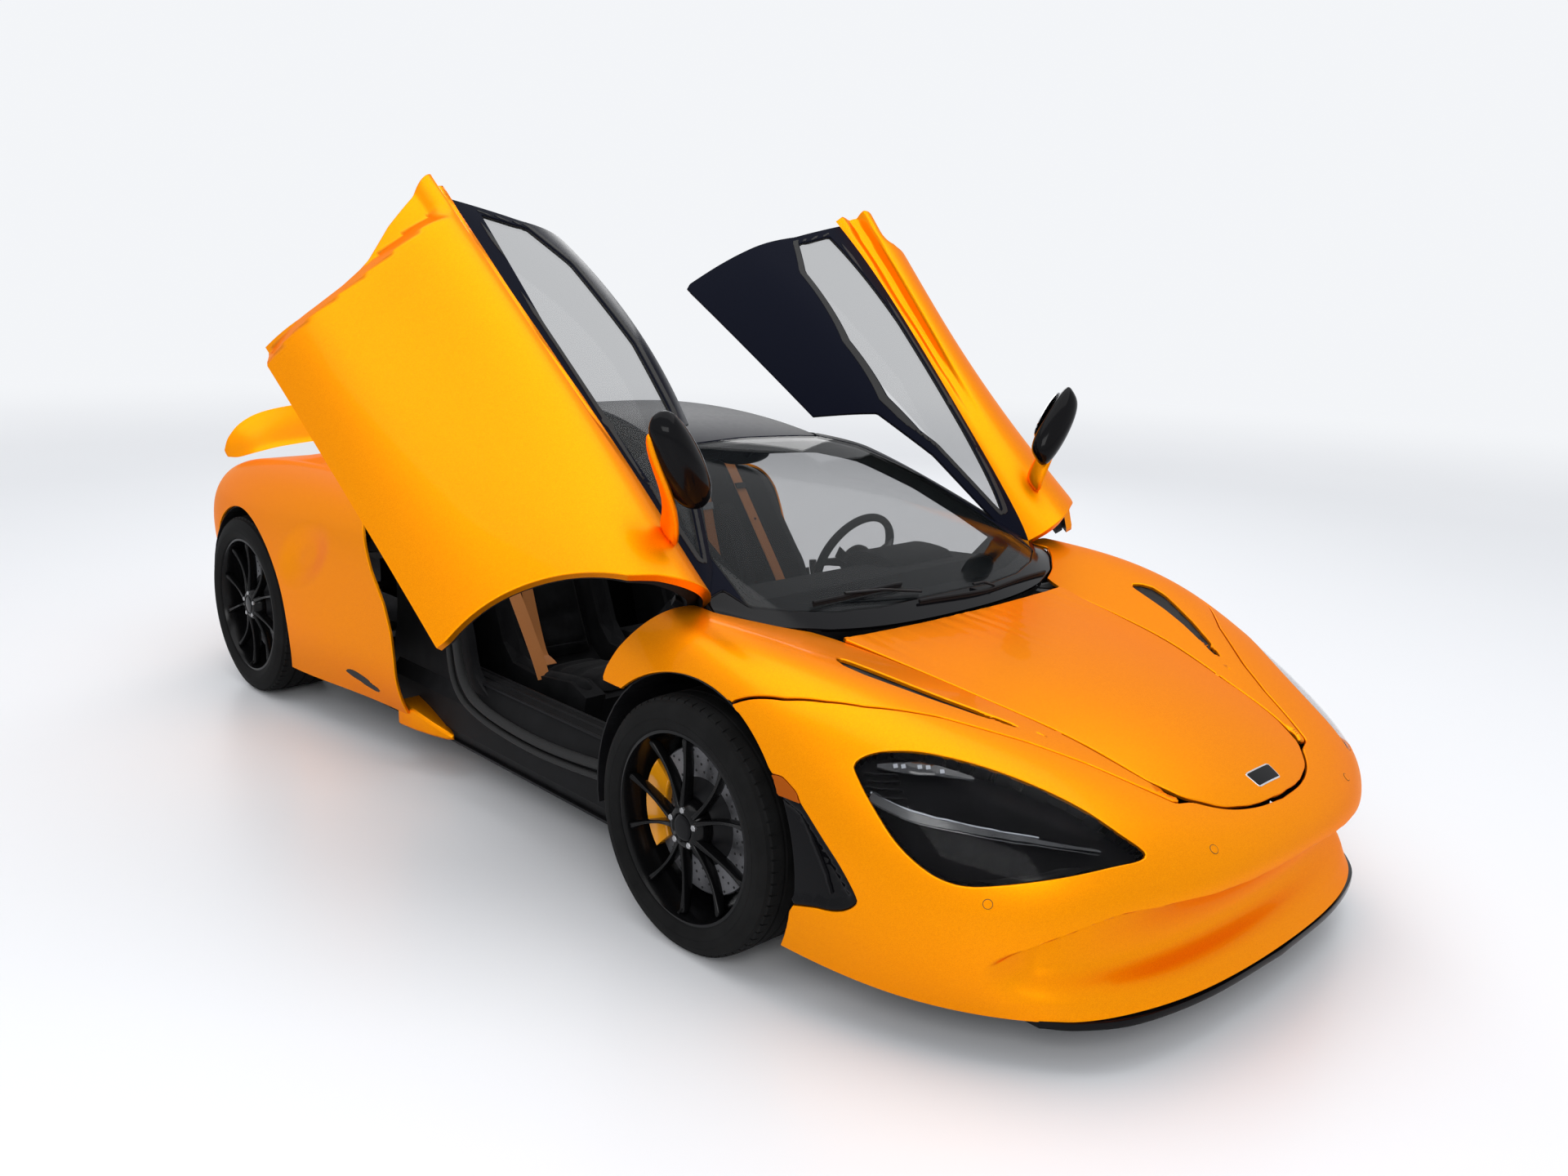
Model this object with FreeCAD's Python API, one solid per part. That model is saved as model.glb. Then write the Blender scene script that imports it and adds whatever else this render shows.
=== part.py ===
import FreeCAD, Part
import math
import os

os.makedirs("parts", exist_ok=True)
Vector = FreeCAD.Vector

# Frame: +X forward, +Y to the left, +Z up, origin on the ground under the middle of the body.

# Overall body
wheelbase = 2670.0
front_overhang = 1129.5
rear_overhang = 769.5
body_width = 1930.0
body_height = 1196.0
panel_thickness = 10.0
glass_thickness = 5.0
frame_thickness = 45.0
door_thickness = 62.0
shut_gap = 6.0
seat_gap = 0.3

# Wheels
front_track = 1680.0
rear_track = 1629.0
front_tyre_radius = 327.0
rear_tyre_radius = 345.5
front_tyre_width = 245.0
rear_tyre_width = 305.0
front_rim_radius = 241.3
rear_rim_radius = 254.0
arch_radius = 386.0
liner_thickness = 4.0
spoke_count = 10
disc_radius = 190.0
disc_thickness = 34.0
kingpin_inset = 40.0
rear_arm_inset = 5.0
ball_height = 165.0
ball_radius = 9.0
hub_radius = 62.0
spindle_radius = 20.0
spindle_length = 46.0
running_gap = 0.05
hub_gap = 1.0
rim_wall = 9.0
face_inset = 14.0
disc_inset = 88.0
wheel_sides = 44
hub_sides = 20

# Doors
door_front_radius = 466.0
door_opening = 64.76
nose_gap = 8.0
tail_gap = 10.0
return_width = 30.0
return_depth = 12.0
head_rim = 40.0
swing_gap = 5.0
hinge_point = (-238.0, 689.0, 781.0)
hinge_direction = (0.75, 0.546, -0.374)

# Passenger cell
floor_bottom = 122.0
floor_thickness = 28.0
sill_height = 345.0
sill_inner = 610.0
sill_outer = 806.0
cell_front = -235.0
cell_rear = -1790.0
bulkhead_thickness = 40.0
bulkhead_height = 800.0
seat_offset = 350.0
seat_width = 470.0
steering_offset = 360.0
steering_wheel_radius = 180.0
column_angle = 22.0
column_radius = 18.0
hinge_pin_radius = 10.0
lid_pin_radius = 3.0
pin_gap = 0.3

# Frames, luggage bay and powertrain
rail_inner = 300.0
rail_outer = 345.0
rail_bottom = 180.0
rail_top = 290.0
tower_half_length = 215.0
arm_thickness = 24.0
arm_eye_radius = 22.0
bay_length = 640.0
bay_bottom = 240.0
bay_wall = 8.0
engine_length = 620.0
engine_half_width = 270.0
engine_bottom = 170.0
engine_top = 630.0
gearbox_length = 530.0
gearbox_half_width = 160.0
tray_thickness = 8.0
tow_radius = 9.0
tow_offset = 180.0
tow_height = 235.0
splitter_bottom = 114.0
splitter_thickness = 16.0

half_width = body_width / 2
nose_x = (front_overhang + wheelbase + rear_overhang) / 2
tail_x = nose_x - front_overhang - wheelbase - rear_overhang
front_axle_x = nose_x - front_overhang
rear_axle_x = front_axle_x - wheelbase


def fore(distance):
    """A station measured forward from the front axle line."""
    return front_axle_x + distance


def aft(distance):
    """A station measured forward from the rear axle line."""
    return rear_axle_x + distance


def nose_station(rows):
    """Rows of set-back behind the nose, half width and height."""
    return [Vector(nose_x - setback, y, z) for setback, y, z in rows]


def tail_station(rows):
    """Rows of distance ahead of the tail, half width and height."""
    return [Vector(tail_x + ahead, y, z) for ahead, y, z in rows]


def side_station(x, rows, shifts=(0, 0, 0)):
    """Rows of inset from the widest line and height; the first rows may shift along the car."""
    lead = list(shifts) + [0] * (len(rows) - len(shifts))
    return [Vector(x + step, half_width - inset, z) for step, (inset, z) in zip(lead, rows)]


def crown(drop):
    """A height measured down from the top of the roof."""
    return body_height - drop


# Body lines of the flank, from the middle of the nose round the left side to the middle of the tail.
# Each station runs from the upper edge down over the shoulder to the lower edge.
flank_lines = [
    nose_station([(86, 0, 504), (48, 0, 486), (20, 0, 460), (3, 0, 428), (-4, 0, 392),
                  (28, 0, 330), (98, 0, 250), (92, 0, 185), (32, 0, 140)]),
    nose_station([(86, 86, 504), (48, 130, 486), (20, 190, 460), (3, 235, 428), (-4, 265, 392),
                  (28, 280, 330), (98, 288, 250), (92, 290, 185), (32, 290, 140)]),
    nose_station([(136, 216, 522), (100, 300, 506), (80, 385, 478), (72, 450, 440), (76, 500, 394),
                  (100, 540, 330), (150, 560, 250), (145, 560, 185), (96, 550, 138)]),
    nose_station([(246, 308, 571), (205, 420, 560), (185, 545, 530), (190, 655, 468), (205, 722, 392),
                  (218, 752, 305), (230, 750, 225), (228, 732, 165), (205, 705, 125)]),
    side_station(fore(645), [(596, 651), (455, 668), (300, 662), (178, 592), (105, 490),
                             (66, 380), (60, 290), (68, 205), (92, 125)], (-15, -10)),
    side_station(fore(325), [(534, 707), (385, 738), (245, 772), (125, 752), (48, 676),
                             (10, 556), (0, 415), (3, 282), (20, 160)]),
    side_station(fore(0), [(482, 747), (330, 778), (205, 818), (98, 804), (26, 728),
                           (-4, 604), (-5, 440), (3, 290), (20, 165)]),
    side_station(fore(-305), [(217, 818), (200, 826), (168, 822), (100, 796), (42, 722),
                              (12, 605), (3, 440), (7, 290), (30, 170)]),
    side_station(fore(-705), [(197, 842), (176, 846), (134, 832), (88, 782), (60, 696),
                              (46, 580), (35, 440), (30, 290), (65, 180)]),
    side_station(fore(-1155), [(180, 852), (146, 856), (104, 838), (68, 782), (58, 690),
                               (56, 580), (50, 440), (40, 290), (85, 185)]),
    side_station(fore(-1555), [(175, 866), (134, 868), (80, 852), (40, 796), (34, 700),
                               (44, 580), (50, 440), (45, 290), (95, 190)]),
    side_station(fore(-1955), [(215, 886), (160, 896), (93, 884), (30, 836), (10, 735),
                               (14, 600), (20, 440), (20, 290), (65, 180)]),
    side_station(aft(365), [(275, 894), (204, 908), (118, 904), (38, 858), (-4, 765),
                            (-10, 630), (-7, 460), (0, 300), (25, 170)]),
    side_station(aft(0), [(305, 884), (230, 900), (142, 896), (58, 856), (2, 775),
                          (-12, 650), (-10, 480), (0, 320), (20, 190)]),
    side_station(aft(-385), [(325, 852), (252, 864), (168, 857), (94, 815), (40, 730),
                             (25, 610), (40, 480), (65, 350), (105, 240)], (30, 20, 10)),
    tail_station([(184, 560, 822), (158, 640, 824), (124, 715, 802), (104, 775, 752), (96, 810, 680),
                  (104, 815, 590), (118, 800, 480), (128, 770, 370), (148, 720, 280)]),
    tail_station([(150, 300, 818), (100, 320, 818), (56, 335, 796), (32, 345, 738), (32, 345, 680),
                  (56, 345, 590), (66, 345, 480), (46, 345, 370), (36, 345, 290)]),
    tail_station([(150, 0, 818), (100, 0, 818), (56, 0, 796), (32, 0, 738), (32, 0, 680),
                  (56, 0, 590), (66, 0, 480), (46, 0, 370), (36, 0, 290)]),
]

# Glasshouse and deck, from the foot of the windscreen to the tail, centre line to belt line.
canopy_lines = [
    [Vector(fore(60), 0, 740), Vector(fore(60), 200, 740), Vector(fore(35), 410, 748),
     Vector(fore(-25), 575, 764), Vector(fore(-95), 665, 782), Vector(fore(-145), 712, 797)],
    [Vector(fore(-60), 0, 806), Vector(fore(-60), 215, 806), Vector(fore(-90), 430, 810),
     Vector(fore(-150), 610, 824), Vector(fore(-205), 700, 822), Vector(fore(-235), 732, 810)],
    [Vector(fore(-270), 0, 906), Vector(fore(-270), 225, 906), Vector(fore(-300), 445, 910),
     Vector(fore(-340), 625, 915), Vector(fore(-330), 715, 868), Vector(fore(-305), 748, 818)],
    [Vector(fore(-580), 0, 1048), Vector(fore(-580), 230, 1048), Vector(fore(-610), 440, 1044),
     Vector(fore(-640), 610, 1030), Vector(fore(-680), 705, 945), Vector(fore(-705), 768, 842)],
    [Vector(fore(-925), 0, crown(38)), Vector(fore(-925), 230, crown(38)), Vector(fore(-945), 430, crown(46)),
     Vector(fore(-985), 585, crown(78)), Vector(fore(-1080), 690, 1010), Vector(fore(-1155), 785, 852)],
    [Vector(fore(-1305), 0, crown(-7)), Vector(fore(-1305), 230, crown(-7)), Vector(fore(-1320), 415, crown(8)),
     Vector(fore(-1360), 560, crown(54)), Vector(fore(-1460), 675, crown(190)), Vector(fore(-1555), 790, 866)],
    [Vector(fore(-1675), 0, crown(6)), Vector(fore(-1675), 215, crown(6)), Vector(fore(-1690), 375, crown(26)),
     Vector(fore(-1740), 510, crown(82)), Vector(fore(-1850), 625, 990), Vector(fore(-1955), 750, 886)],
    [Vector(aft(515), 0, 1100), Vector(aft(515), 190, 1100), Vector(aft(510), 320, 1082),
     Vector(aft(490), 440, 1040), Vector(aft(425), 560, 960), Vector(aft(365), 690, 894)],
    [Vector(aft(30), 0, 970), Vector(aft(30), 170, 970), Vector(aft(25), 290, 960),
     Vector(aft(20), 400, 938), Vector(aft(10), 520, 908), Vector(aft(0), 660, 884)],
    [Vector(aft(-385), 0, 876), Vector(aft(-385), 160, 876), Vector(aft(-385), 290, 872),
     Vector(aft(-380), 400, 866), Vector(aft(-370), 510, 858), Vector(aft(-355), 640, 852)],
    tail_station([(150, 0, 818), (150, 160, 818), (152, 290, 818), (158, 380, 819), (168, 470, 820),
                  (184, 560, 822)]),
]

# Front lid, from the nose to the foot of the windscreen, centre line outward.
lid_lines = [
    [Vector(fore(1105), y, z) for y, z in ((0, 470), (130, 470), (280, 457), (400, 432), (520, 397))],
    [Vector(fore(1025), y, z) for y, z in ((0, 529), (130, 529), (280, 513), (400, 489), (520, 456))],
    [Vector(fore(905), y, z) for y, z in ((0, 588), (130, 588), (280, 578), (400, 565), (520, 545))],
    [Vector(fore(725), y, z) for y, z in ((0, 650), (130, 650), (280, 643), (400, 634), (520, 634))],
    [Vector(fore(485), y, z) for y, z in ((0, 700), (130, 700), (280, 693), (400, 687), (520, 690))],
    [Vector(fore(245), y, z) for y, z in ((0, 730), (130, 730), (280, 725), (400, 721), (520, 726))],
    [Vector(fore(25), y, z) for y, z in ((0, 748), (130, 748), (280, 746), (400, 746), (520, 752))],
]


def knots(count):
    """Knot values and multiplicities of a clamped even cubic with that many poles."""
    spans = count - 3
    return [i / spans for i in range(spans + 1)], [4] + [1] * (spans - 1) + [4]


def spline_surface(grid):
    """A bicubic surface through the body lines' control net."""
    knots_u, mults_u = knots(len(grid))
    knots_v, mults_v = knots(len(grid[0]))
    surface = Part.BSplineSurface()
    surface.buildFromPolesMultsKnots(grid, mults_u, mults_v, knots_u, knots_v, False, False, 3, 3)
    return surface


def body_net(grid, depth, spans_u, spans_v):
    """Points on a body surface, moved in from it by a depth."""
    surface = spline_surface(grid)
    net = []
    for i in range(spans_u + 1):
        line = []
        for j in range(spans_v + 1):
            u = i / spans_u
            v = j / spans_v
            point = surface.value(u, v) + surface.normal(u, v) * depth
            if abs(surface.value(u, v).y) < 1e-6:
                point.y = 0.0
            line.append(point)
        net.append(line)
    return net


def facets(first, second):
    """Flat triangles between two rows of points."""
    faces = []
    for k in range(len(first) - 1):
        for corners in ((first[k], first[k + 1], second[k]), (first[k + 1], second[k + 1], second[k])):
            if (corners[1] - corners[0]).cross(corners[2] - corners[0]).Length > 1e-3:
                faces.append(Part.Face(Part.makePolygon(list(corners) + [corners[0]])))
    return faces


def layer(grid, near, far, spans_u, spans_v):
    """The solid between two depths under a body surface, in flat facets."""
    outer = body_net(grid, near, spans_u, spans_v)
    inner = body_net(grid, far, spans_u, spans_v)
    faces = []
    for net in (outer, inner):
        for row, following in zip(net[:-1], net[1:]):
            faces += facets(row, following)
    for end in (0, -1):
        faces += facets(outer[end], inner[end])
        faces += facets([row[end] for row in outer], [row[end] for row in inner])
    skin = Part.makeShell(faces)
    skin.sewShape()
    solid = Part.makeSolid(skin)
    if solid.Volume < 0:
        solid.reverse()
    return solid


def prism(corners, along, length):
    """A closed outline pushed straight for a length."""
    wire = Part.makePolygon(corners + [corners[0]])
    return Part.Face(wire).extrude(along * length)


def side_prism(outline, y_low, y_high):
    """A side-view outline of (x, z) points made solid across the car."""
    return prism([Vector(x, y_low, z) for x, z in outline], Vector(0, 1, 0), y_high - y_low)


def plan_prism(outline, z_low, z_high):
    """A plan outline of (x, y) points made solid upwards."""
    return prism([Vector(x, y, z_low) for x, y in outline], Vector(0, 0, 1), z_high - z_low)


def section_prism(outline, x_low, x_high):
    """A cross-section of (y, z) points made solid along the car."""
    return prism([Vector(x_low, y, z) for y, z in outline], Vector(1, 0, 0), x_high - x_low)


def box(x_low, x_high, y_low, y_high, z_low, z_high):
    return Part.makeBox(x_high - x_low, y_high - y_low, z_high - z_low, Vector(x_low, y_low, z_low))


def across(x, z, radius, y_low, y_high):
    """A cylinder lying across the car."""
    return Part.makeCylinder(radius, y_high - y_low, Vector(x, y_low, z), Vector(0, 1, 0))


def rod(start, end, radius):
    """A round bar between two points."""
    start = Vector(*start)
    end = Vector(*end)
    return Part.makeCylinder(radius, (end - start).Length, start, end - start)


def mirrored(shape):
    return shape.mirror(Vector(0, 0, 0), Vector(0, 1, 0))


def ring_solid(rings):
    """A closed solid with flat facets through rings of as many points each."""
    faces = []
    for ring, following in zip(rings[:-1], rings[1:]):
        faces += facets(ring + [ring[0]], following + [following[0]])
    for ring in (rings[0], rings[-1]):
        middle = Vector(0, 0, 0)
        for point in ring:
            middle += point * (1.0 / len(ring))
        faces += facets(ring + [ring[0]], [middle] * (len(ring) + 1))
    skin = Part.makeShell(faces)
    skin.sewShape()
    solid = Part.makeSolid(skin)
    if solid.Volume < 0:
        solid.reverse()
    return solid


def grown(outline, distance):
    """A closed outline of flat points moved outward."""
    wire = Part.makePolygon([Vector(a, b, 0) for a, b in outline + [outline[0]]])
    larger = wire.makeOffset2D(distance, 2)
    return [(vertex.X, vertex.Y) for vertex in larger.OrderedVertexes]


def around(centre, radius, sides):
    """A regular outline across an axle."""
    corners = []
    for k in range(sides + 1):
        angle = 2 * math.pi * (k + 0.5) / sides
        corners.append(centre + Vector(radius * math.sin(angle), 0, -radius * math.cos(angle)))
    return Part.makePolygon(corners)


def many_sided(start, along, radius, sides):
    """A straight bar with a regular outline, from a point along a vector."""
    bar = Part.Face(around(Vector(0, 0, 0), radius, sides)).extrude(Vector(0, along.Length, 0))
    turn = FreeCAD.Rotation(Vector(0, 1, 0), along)
    bar.Placement = FreeCAD.Placement(start, turn)
    return bar


def turned(profile, hub, outward, sides):
    """A closed profile of (distance outward, radius) points turned about an axle in flat-sided steps."""
    faces = []
    flats = [start[0] == end[0] and min(start[1], end[1]) == 0 for start, end in zip(profile, profile[1:] + profile[:1])]
    for (start, end), flat in zip(zip(profile, profile[1:] + profile[:1]), flats):
        if flat:
            faces.append(Part.Face(around(hub + Vector(0, outward * start[0], 0), max(start[1], end[1]), sides)))
    for k in range(sides):
        angles = (2 * math.pi * (k + 0.5) / sides, 2 * math.pi * (k + 1.5) / sides)
        for (start, end), flat in zip(zip(profile, profile[1:] + profile[:1]), flats):
            if flat:
                continue
            corners = []
            for (y, r), angle in ((start, angles[0]), (end, angles[0]), (end, angles[1]), (start, angles[1])):
                corner = hub + Vector(r * math.sin(angle), outward * y, -r * math.cos(angle))
                if not any((corner - other).Length < 1e-6 for other in corners):
                    corners.append(corner)
            if len(corners) > 2:
                faces.append(Part.Face(Part.makePolygon(corners + [corners[0]])))
    skin = Part.makeShell(faces)
    skin.sewShape()
    solid = Part.makeSolid(skin)
    if solid.Volume < 0:
        solid.reverse()
    return solid


def joined(shapes):
    """One solid from several that touch or overlap."""
    result = shapes[0]
    for shape in shapes[1:]:
        result = result.fuse(shape)
    return result


def both(shape):
    """A left-hand solid joined across the middle to its mirror image."""
    return shape.fuse(mirrored(shape))


def pair(shape):
    """A left-hand solid and its separate mirror image."""
    return Part.makeCompound([shape, mirrored(shape)])


def main_solid(shape):
    """The largest solid of a cut."""
    return max(shape.Solids, key=lambda solid: solid.Volume)


def export(name, shape):
    shape.exportStep(os.path.join("parts", name + ".step"))


high = 3000.0
front_hub = Vector(front_axle_x, front_track / 2, front_tyre_radius)
rear_hub = Vector(rear_axle_x, rear_track / 2, rear_tyre_radius)

# Wiper lines across the cowl and glass, (x, y)
wiper_paths = [[(fore(-70), -470), (fore(-30), -330), (fore(-5), -130)],
               [(fore(-60), -120), (fore(-20), 60), (fore(-45), 300), (fore(-110), 480)]]
# Shut lines of the left side: (x, y) in plan, (x, z) in side view
canopy_front = [(fore(64), 0), (fore(64), 200), (fore(52), 330), (fore(22), 445), (fore(-35), 585),
                (fore(-100), 668), (fore(-150), 716)]
screen_front = [(fore(-12), 0), (fore(-12), 240), (fore(-35), 400), (fore(-80), 530), (fore(-135), 618)]
screen_side = [(fore(-300), 590), (fore(-600), 540), (fore(-780), 455), (fore(-850), 330), (fore(-868), 0)]
door_inner = [(fore(-150), 716), (fore(-215), 696), (fore(-330), 664), (fore(-600), 606), (fore(-800), 520),
              (fore(-892), 330), (fore(-1625), 170), (fore(-1640), 420), (fore(-1660), 600), (fore(-1765), 900)]
door_nose = [(fore(-466), 100), (fore(-330), 660), (fore(-300), 715), (fore(-245), 790), (fore(-210), 838),
             (fore(-170), 1300)]
door_tail = [(fore(-1765), 1300), (fore(-1765), 905), (fore(-1690), 780), (fore(-1640), 665), (fore(-1580), 566),
             (fore(-1530), 411), (fore(-1535), 100)]
window = [(fore(-360), 862), (fore(-600), 975), (fore(-850), 1062), (fore(-1100), 1098), (fore(-1450), 1092),
          (fore(-1620), 1040), (fore(-1680), 935), (fore(-1200), 886), (fore(-700), 868)]
lid_side = [(nose_x - 78, 0), (nose_x - 88, 110), (nose_x - 118, 205), (nose_x - 175, 278), (nose_x - 260, 322),
            (fore(685), 362), (fore(485), 415), (fore(305), 445), (fore(150), 470), (fore(40), 492)]
lid_back = fore(74)
lid_rear = [(fore(40), 492), (fore(52), 330), (lid_back, 200), (lid_back, 0)]
bumper_seam = [(fore(145), 1100), (fore(150), 925), (fore(275), 870), (fore(422), 760), (fore(530), 630),
               (fore(680), 495), (fore(785), 420), (fore(895), 356), (fore(955), 318), (fore(955), 0), (nose_x + 200, 0), (nose_x + 200, 1100)]
rear_glass = [(fore(-1730), 0), (fore(-1730), 300), (fore(-2040), 250), (fore(-2040), 0)]
net_u = 20
net_v = 10
canopy_u = 14
canopy_v = 7
swing_steps = (2, 4, 7, 11, 16, 22, 30, 38, 47, 56, door_opening)
lid_u = 8
lid_v = 6
tail_joint_x = aft(-560)


def shifted(outline, step):
    return [(a + step, b) for a, b in outline]


def door_space(nose_step, tail_step):
    """The side-view space of the door, its edges set back by two steps."""
    return side_prism(shifted(door_nose, -nose_step) + shifted(door_tail, tail_step), 0, high)


def canopy_layer(near, far):
    return layer(canopy_lines, near, far, canopy_u, canopy_v)


def body_panels():
    """The fixed panels below the belt line, left side."""
    skin = layer(flank_lines, 0.0, panel_thickness, net_u, net_v)
    for hub in (front_hub, rear_hub):
        skin = skin.cut(across(hub.x, hub.z, arch_radius, 0, high))
    skin = skin.cut(door_space(0, 0))
    front = skin.common(box(fore(-500), nose_x + 100, -10, high, 0, high))
    front = front.cut(plan_prism(canopy_front + [(fore(-900), 716), (fore(-900), 0)], 0, high))
    front = front.cut(plan_prism(lid_side + [(fore(40), 0)], 0, high))
    nose_side = plan_prism(bumper_seam, 0, high)
    bumper = main_solid(front.common(nose_side))
    fender = front.cut(nose_side)
    fender = main_solid(fender.cut(box(fore(-500), fore(-250), 0, high, 0, 622)))
    rear = skin.common(box(tail_x - 100, fore(-1400), -10, high, 0, high))
    tail_box = box(tail_x - 100, tail_joint_x, -10, high, 0, high)
    tail = main_solid(rear.common(tail_box))
    haunch = main_solid(rear.cut(tail_box))
    return bumper, fender, haunch, tail


def outline_cutter(points, away, reach):
    """An outline on a curved panel pushed through it along one direction."""
    away = Vector(*away)
    away.normalize()
    start = Vector(*points[0])
    flat = [Vector(*point) - away * ((Vector(*point) - start).dot(away) - reach / 2) for point in points]
    return prism(flat, away * -1.0, reach)


# Lamp sockets and air openings of the left side
lamp_outline = [(1635, 853, 618), (1701, 774, 649), (1747, 732, 647), (1829, 664, 628), (1917, 603, 599),
                (2010, 550, 561), (2093, 515, 517), (2149, 492, 477), (2119, 578, 467), (2065, 675, 453),
                (1987, 763, 435), (1921, 813, 424), (1855, 842, 436), (1778, 861, 479), (1708, 865, 540),
                (1658, 862, 589)]
lamp_direction = (0.62, 0.62, 0.48)
blade_outline = [(fore(285), 530), (fore(382), 521), (fore(405), 509), (fore(467), 451), (fore(513), 405),
                 (fore(551), 354), (fore(555), 330), (fore(519), 302), (fore(455), 289), (fore(330), 289)]
tail_lamp_outline = [(350, 744), (560, 760), (700, 752), (860, 742), (860, 718), (700, 730), (560, 738), (350, 722)]
exhaust_offset = 78.0
exhaust_height = 688.0
exhaust_radius = 52.0
lamp_cutter = outline_cutter(lamp_outline, lamp_direction, 400)
blade_cutter = side_prism(blade_outline, 800, high)
tail_lamp_cutter = section_prism(tail_lamp_outline, tail_x - 100, aft(-520))


def exhaust_bar(radius, start, end):
    return many_sided(Vector(start, exhaust_offset, exhaust_height), Vector(end - start, 0, 0), radius, 24)


bumper_half, fender_left, haunch_left, tail_half = body_panels()
bumper_half = main_solid(bumper_half.cut(lamp_cutter).cut(blade_cutter))
tail_half = tail_half.cut(tail_lamp_cutter).cut(exhaust_bar(exhaust_radius + 6, tail_x - 50, tail_x + 200))
tail_half = main_solid(tail_half)
haunch_left = main_solid(haunch_left.cut(tail_lamp_cutter))
hinge = Vector(fore(hinge_point[0]), hinge_point[1], hinge_point[2])
hinge_axis = Vector(*hinge_direction)
swing_axis = hinge_axis * (1.0 / hinge_axis.Length)
fender_left = main_solid(fender_left.cut(Part.makeCylinder(48, 60, hinge - swing_axis * 40, swing_axis)))
export("fender_l", fender_left)
export("fender_r", mirrored(fender_left))
export("quarter_l", haunch_left)
export("quarter_r", mirrored(haunch_left))
tow_x = fore(780)
tow_line = Part.makeCylinder(tow_radius + 7, 600, Vector(tow_x, tow_offset, tow_height), Vector(1, 0, 0))
export("front_bumper", both(bumper_half).cut(tow_line))
export("rear_bumper", both(tail_half))

# Windscreen frame, roof strip and hoop of the passenger cell
glass_bed = 25.0
screen_half = screen_front + screen_side
screen_plan = plan_prism(screen_half, 0, high)
screen_inner = [(x - 20, max(y - glass_bed, 0)) for x, y in screen_front]
screen_inner += [(x + 20, max(y - glass_bed, 0)) for x, y in screen_side]
frame_outline = canopy_front + door_inner[1:-1] + [(fore(-1765), 820), (fore(-1850), 800), (fore(-1720), 600),
                                                   (fore(-1690), 180), (fore(-1690), 0)]
frame_half = canopy_layer(0.0, frame_thickness).common(plan_prism(frame_outline, 0, high))
frame_half = frame_half.cut(plan_prism(screen_inner, 0, high))
glass_space = canopy_layer(-2.0, glass_thickness + seat_gap).common(screen_plan)
frame_half = frame_half.cut(glass_space)
roof_outline = [(fore(-868), 0), (fore(-850), 330)] + door_inner[5:7] + [(fore(-1625), 0)]
roof_space = canopy_layer(-2.0, panel_thickness + seat_gap).common(plan_prism(roof_outline, 0, high))
frame_half = frame_half.cut(roof_space)
cowl_outline = canopy_front + [(fore(-215), 696), (fore(-215), 640)] + screen_front[::-1]
cowl_space = canopy_layer(-2.0, panel_thickness + seat_gap).common(plan_prism(cowl_outline, 0, high))
frame_half = frame_half.cut(cowl_space)
deck_outline = [(fore(-1625), 0), (fore(-1625), 170)] + door_inner[7:] + [(tail_x - 50, 900), (tail_x - 50, 0)]
deck_space = canopy_layer(-2.0, panel_thickness + seat_gap).common(plan_prism(deck_outline, 0, high))
frame_half = main_solid(frame_half.cut(deck_space))

windscreen_half = main_solid(canopy_layer(0.0, glass_thickness).common(screen_plan))
export("windscreen", both(windscreen_half))
roof_half = main_solid(canopy_layer(0.0, panel_thickness).common(plan_prism(roof_outline, 0, high)))
export("roof", both(roof_half))
cowl_half = main_solid(canopy_layer(0.0, panel_thickness).common(plan_prism(cowl_outline, 0, high)))
deck_half = canopy_layer(0.0, panel_thickness).common(plan_prism(deck_outline, 0, high))
deck_half = deck_half.cut(plan_prism(rear_glass, 0, high))
deck_half = deck_half.cut(side_prism(door_nose + door_tail, 740, high))
deck_half = main_solid(deck_half.cut(haunch_left).cut(tail_half))
export("engine_cover", both(deck_half))
rear_glass_half = canopy_layer(0.0, glass_thickness).common(plan_prism(rear_glass, 0, high))
export("rear_window", both(main_solid(rear_glass_half)))

# Front lid: the flank and the cowl stop at its shut line, and it stands back from them by a gap
lid_plan = [(x - shut_gap if x > fore(700) else x, max(y - shut_gap, 0)) for x, y in lid_side]
lid_shape = layer(lid_lines, 0.0, panel_thickness, lid_u, lid_v)
lid_half = main_solid(lid_shape.common(plan_prism(lid_plan + lid_rear[1:], 0, high)))
lid_hinge_z = 739.0
lid_ear = (92.0, 100.0)
lid_notch = box(lid_back - 1, lid_back + 9, lid_ear[0] - 1, lid_ear[1] + 1, 600, high)
lid_pin = across(lid_back, lid_hinge_z, lid_pin_radius, lid_ear[0] - 14, lid_ear[1] + 14)
lid_half = main_solid(lid_half.cut(lid_notch).fuse(lid_pin))
export("front_lid", both(lid_half))
lid_bracket = across(lid_back, lid_hinge_z, lid_pin_radius + 2.5, lid_ear[0], lid_ear[1])
lid_bracket = lid_bracket.fuse(box(lid_back - 24, lid_back, lid_ear[0], lid_ear[1], lid_hinge_z - 4, lid_hinge_z + 3))
lid_bracket = lid_bracket.cut(across(lid_back, lid_hinge_z, lid_pin_radius + pin_gap, 0, 200))
cowl_half = main_solid(cowl_half.fuse(lid_bracket))
export("cowl", both(cowl_half))


def head_outline(step):
    """The plan space of the door's glass and roof section, its inner edge moved outward by a step."""
    head = door_inner[1:-1]
    line = [(x - step, y + step) for x, y in head[:5]]
    line += [(x + step, y + step) for x, y in head[5:]]
    return line + [(fore(-1765) + step, 900), (fore(-150), 900)]


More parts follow.
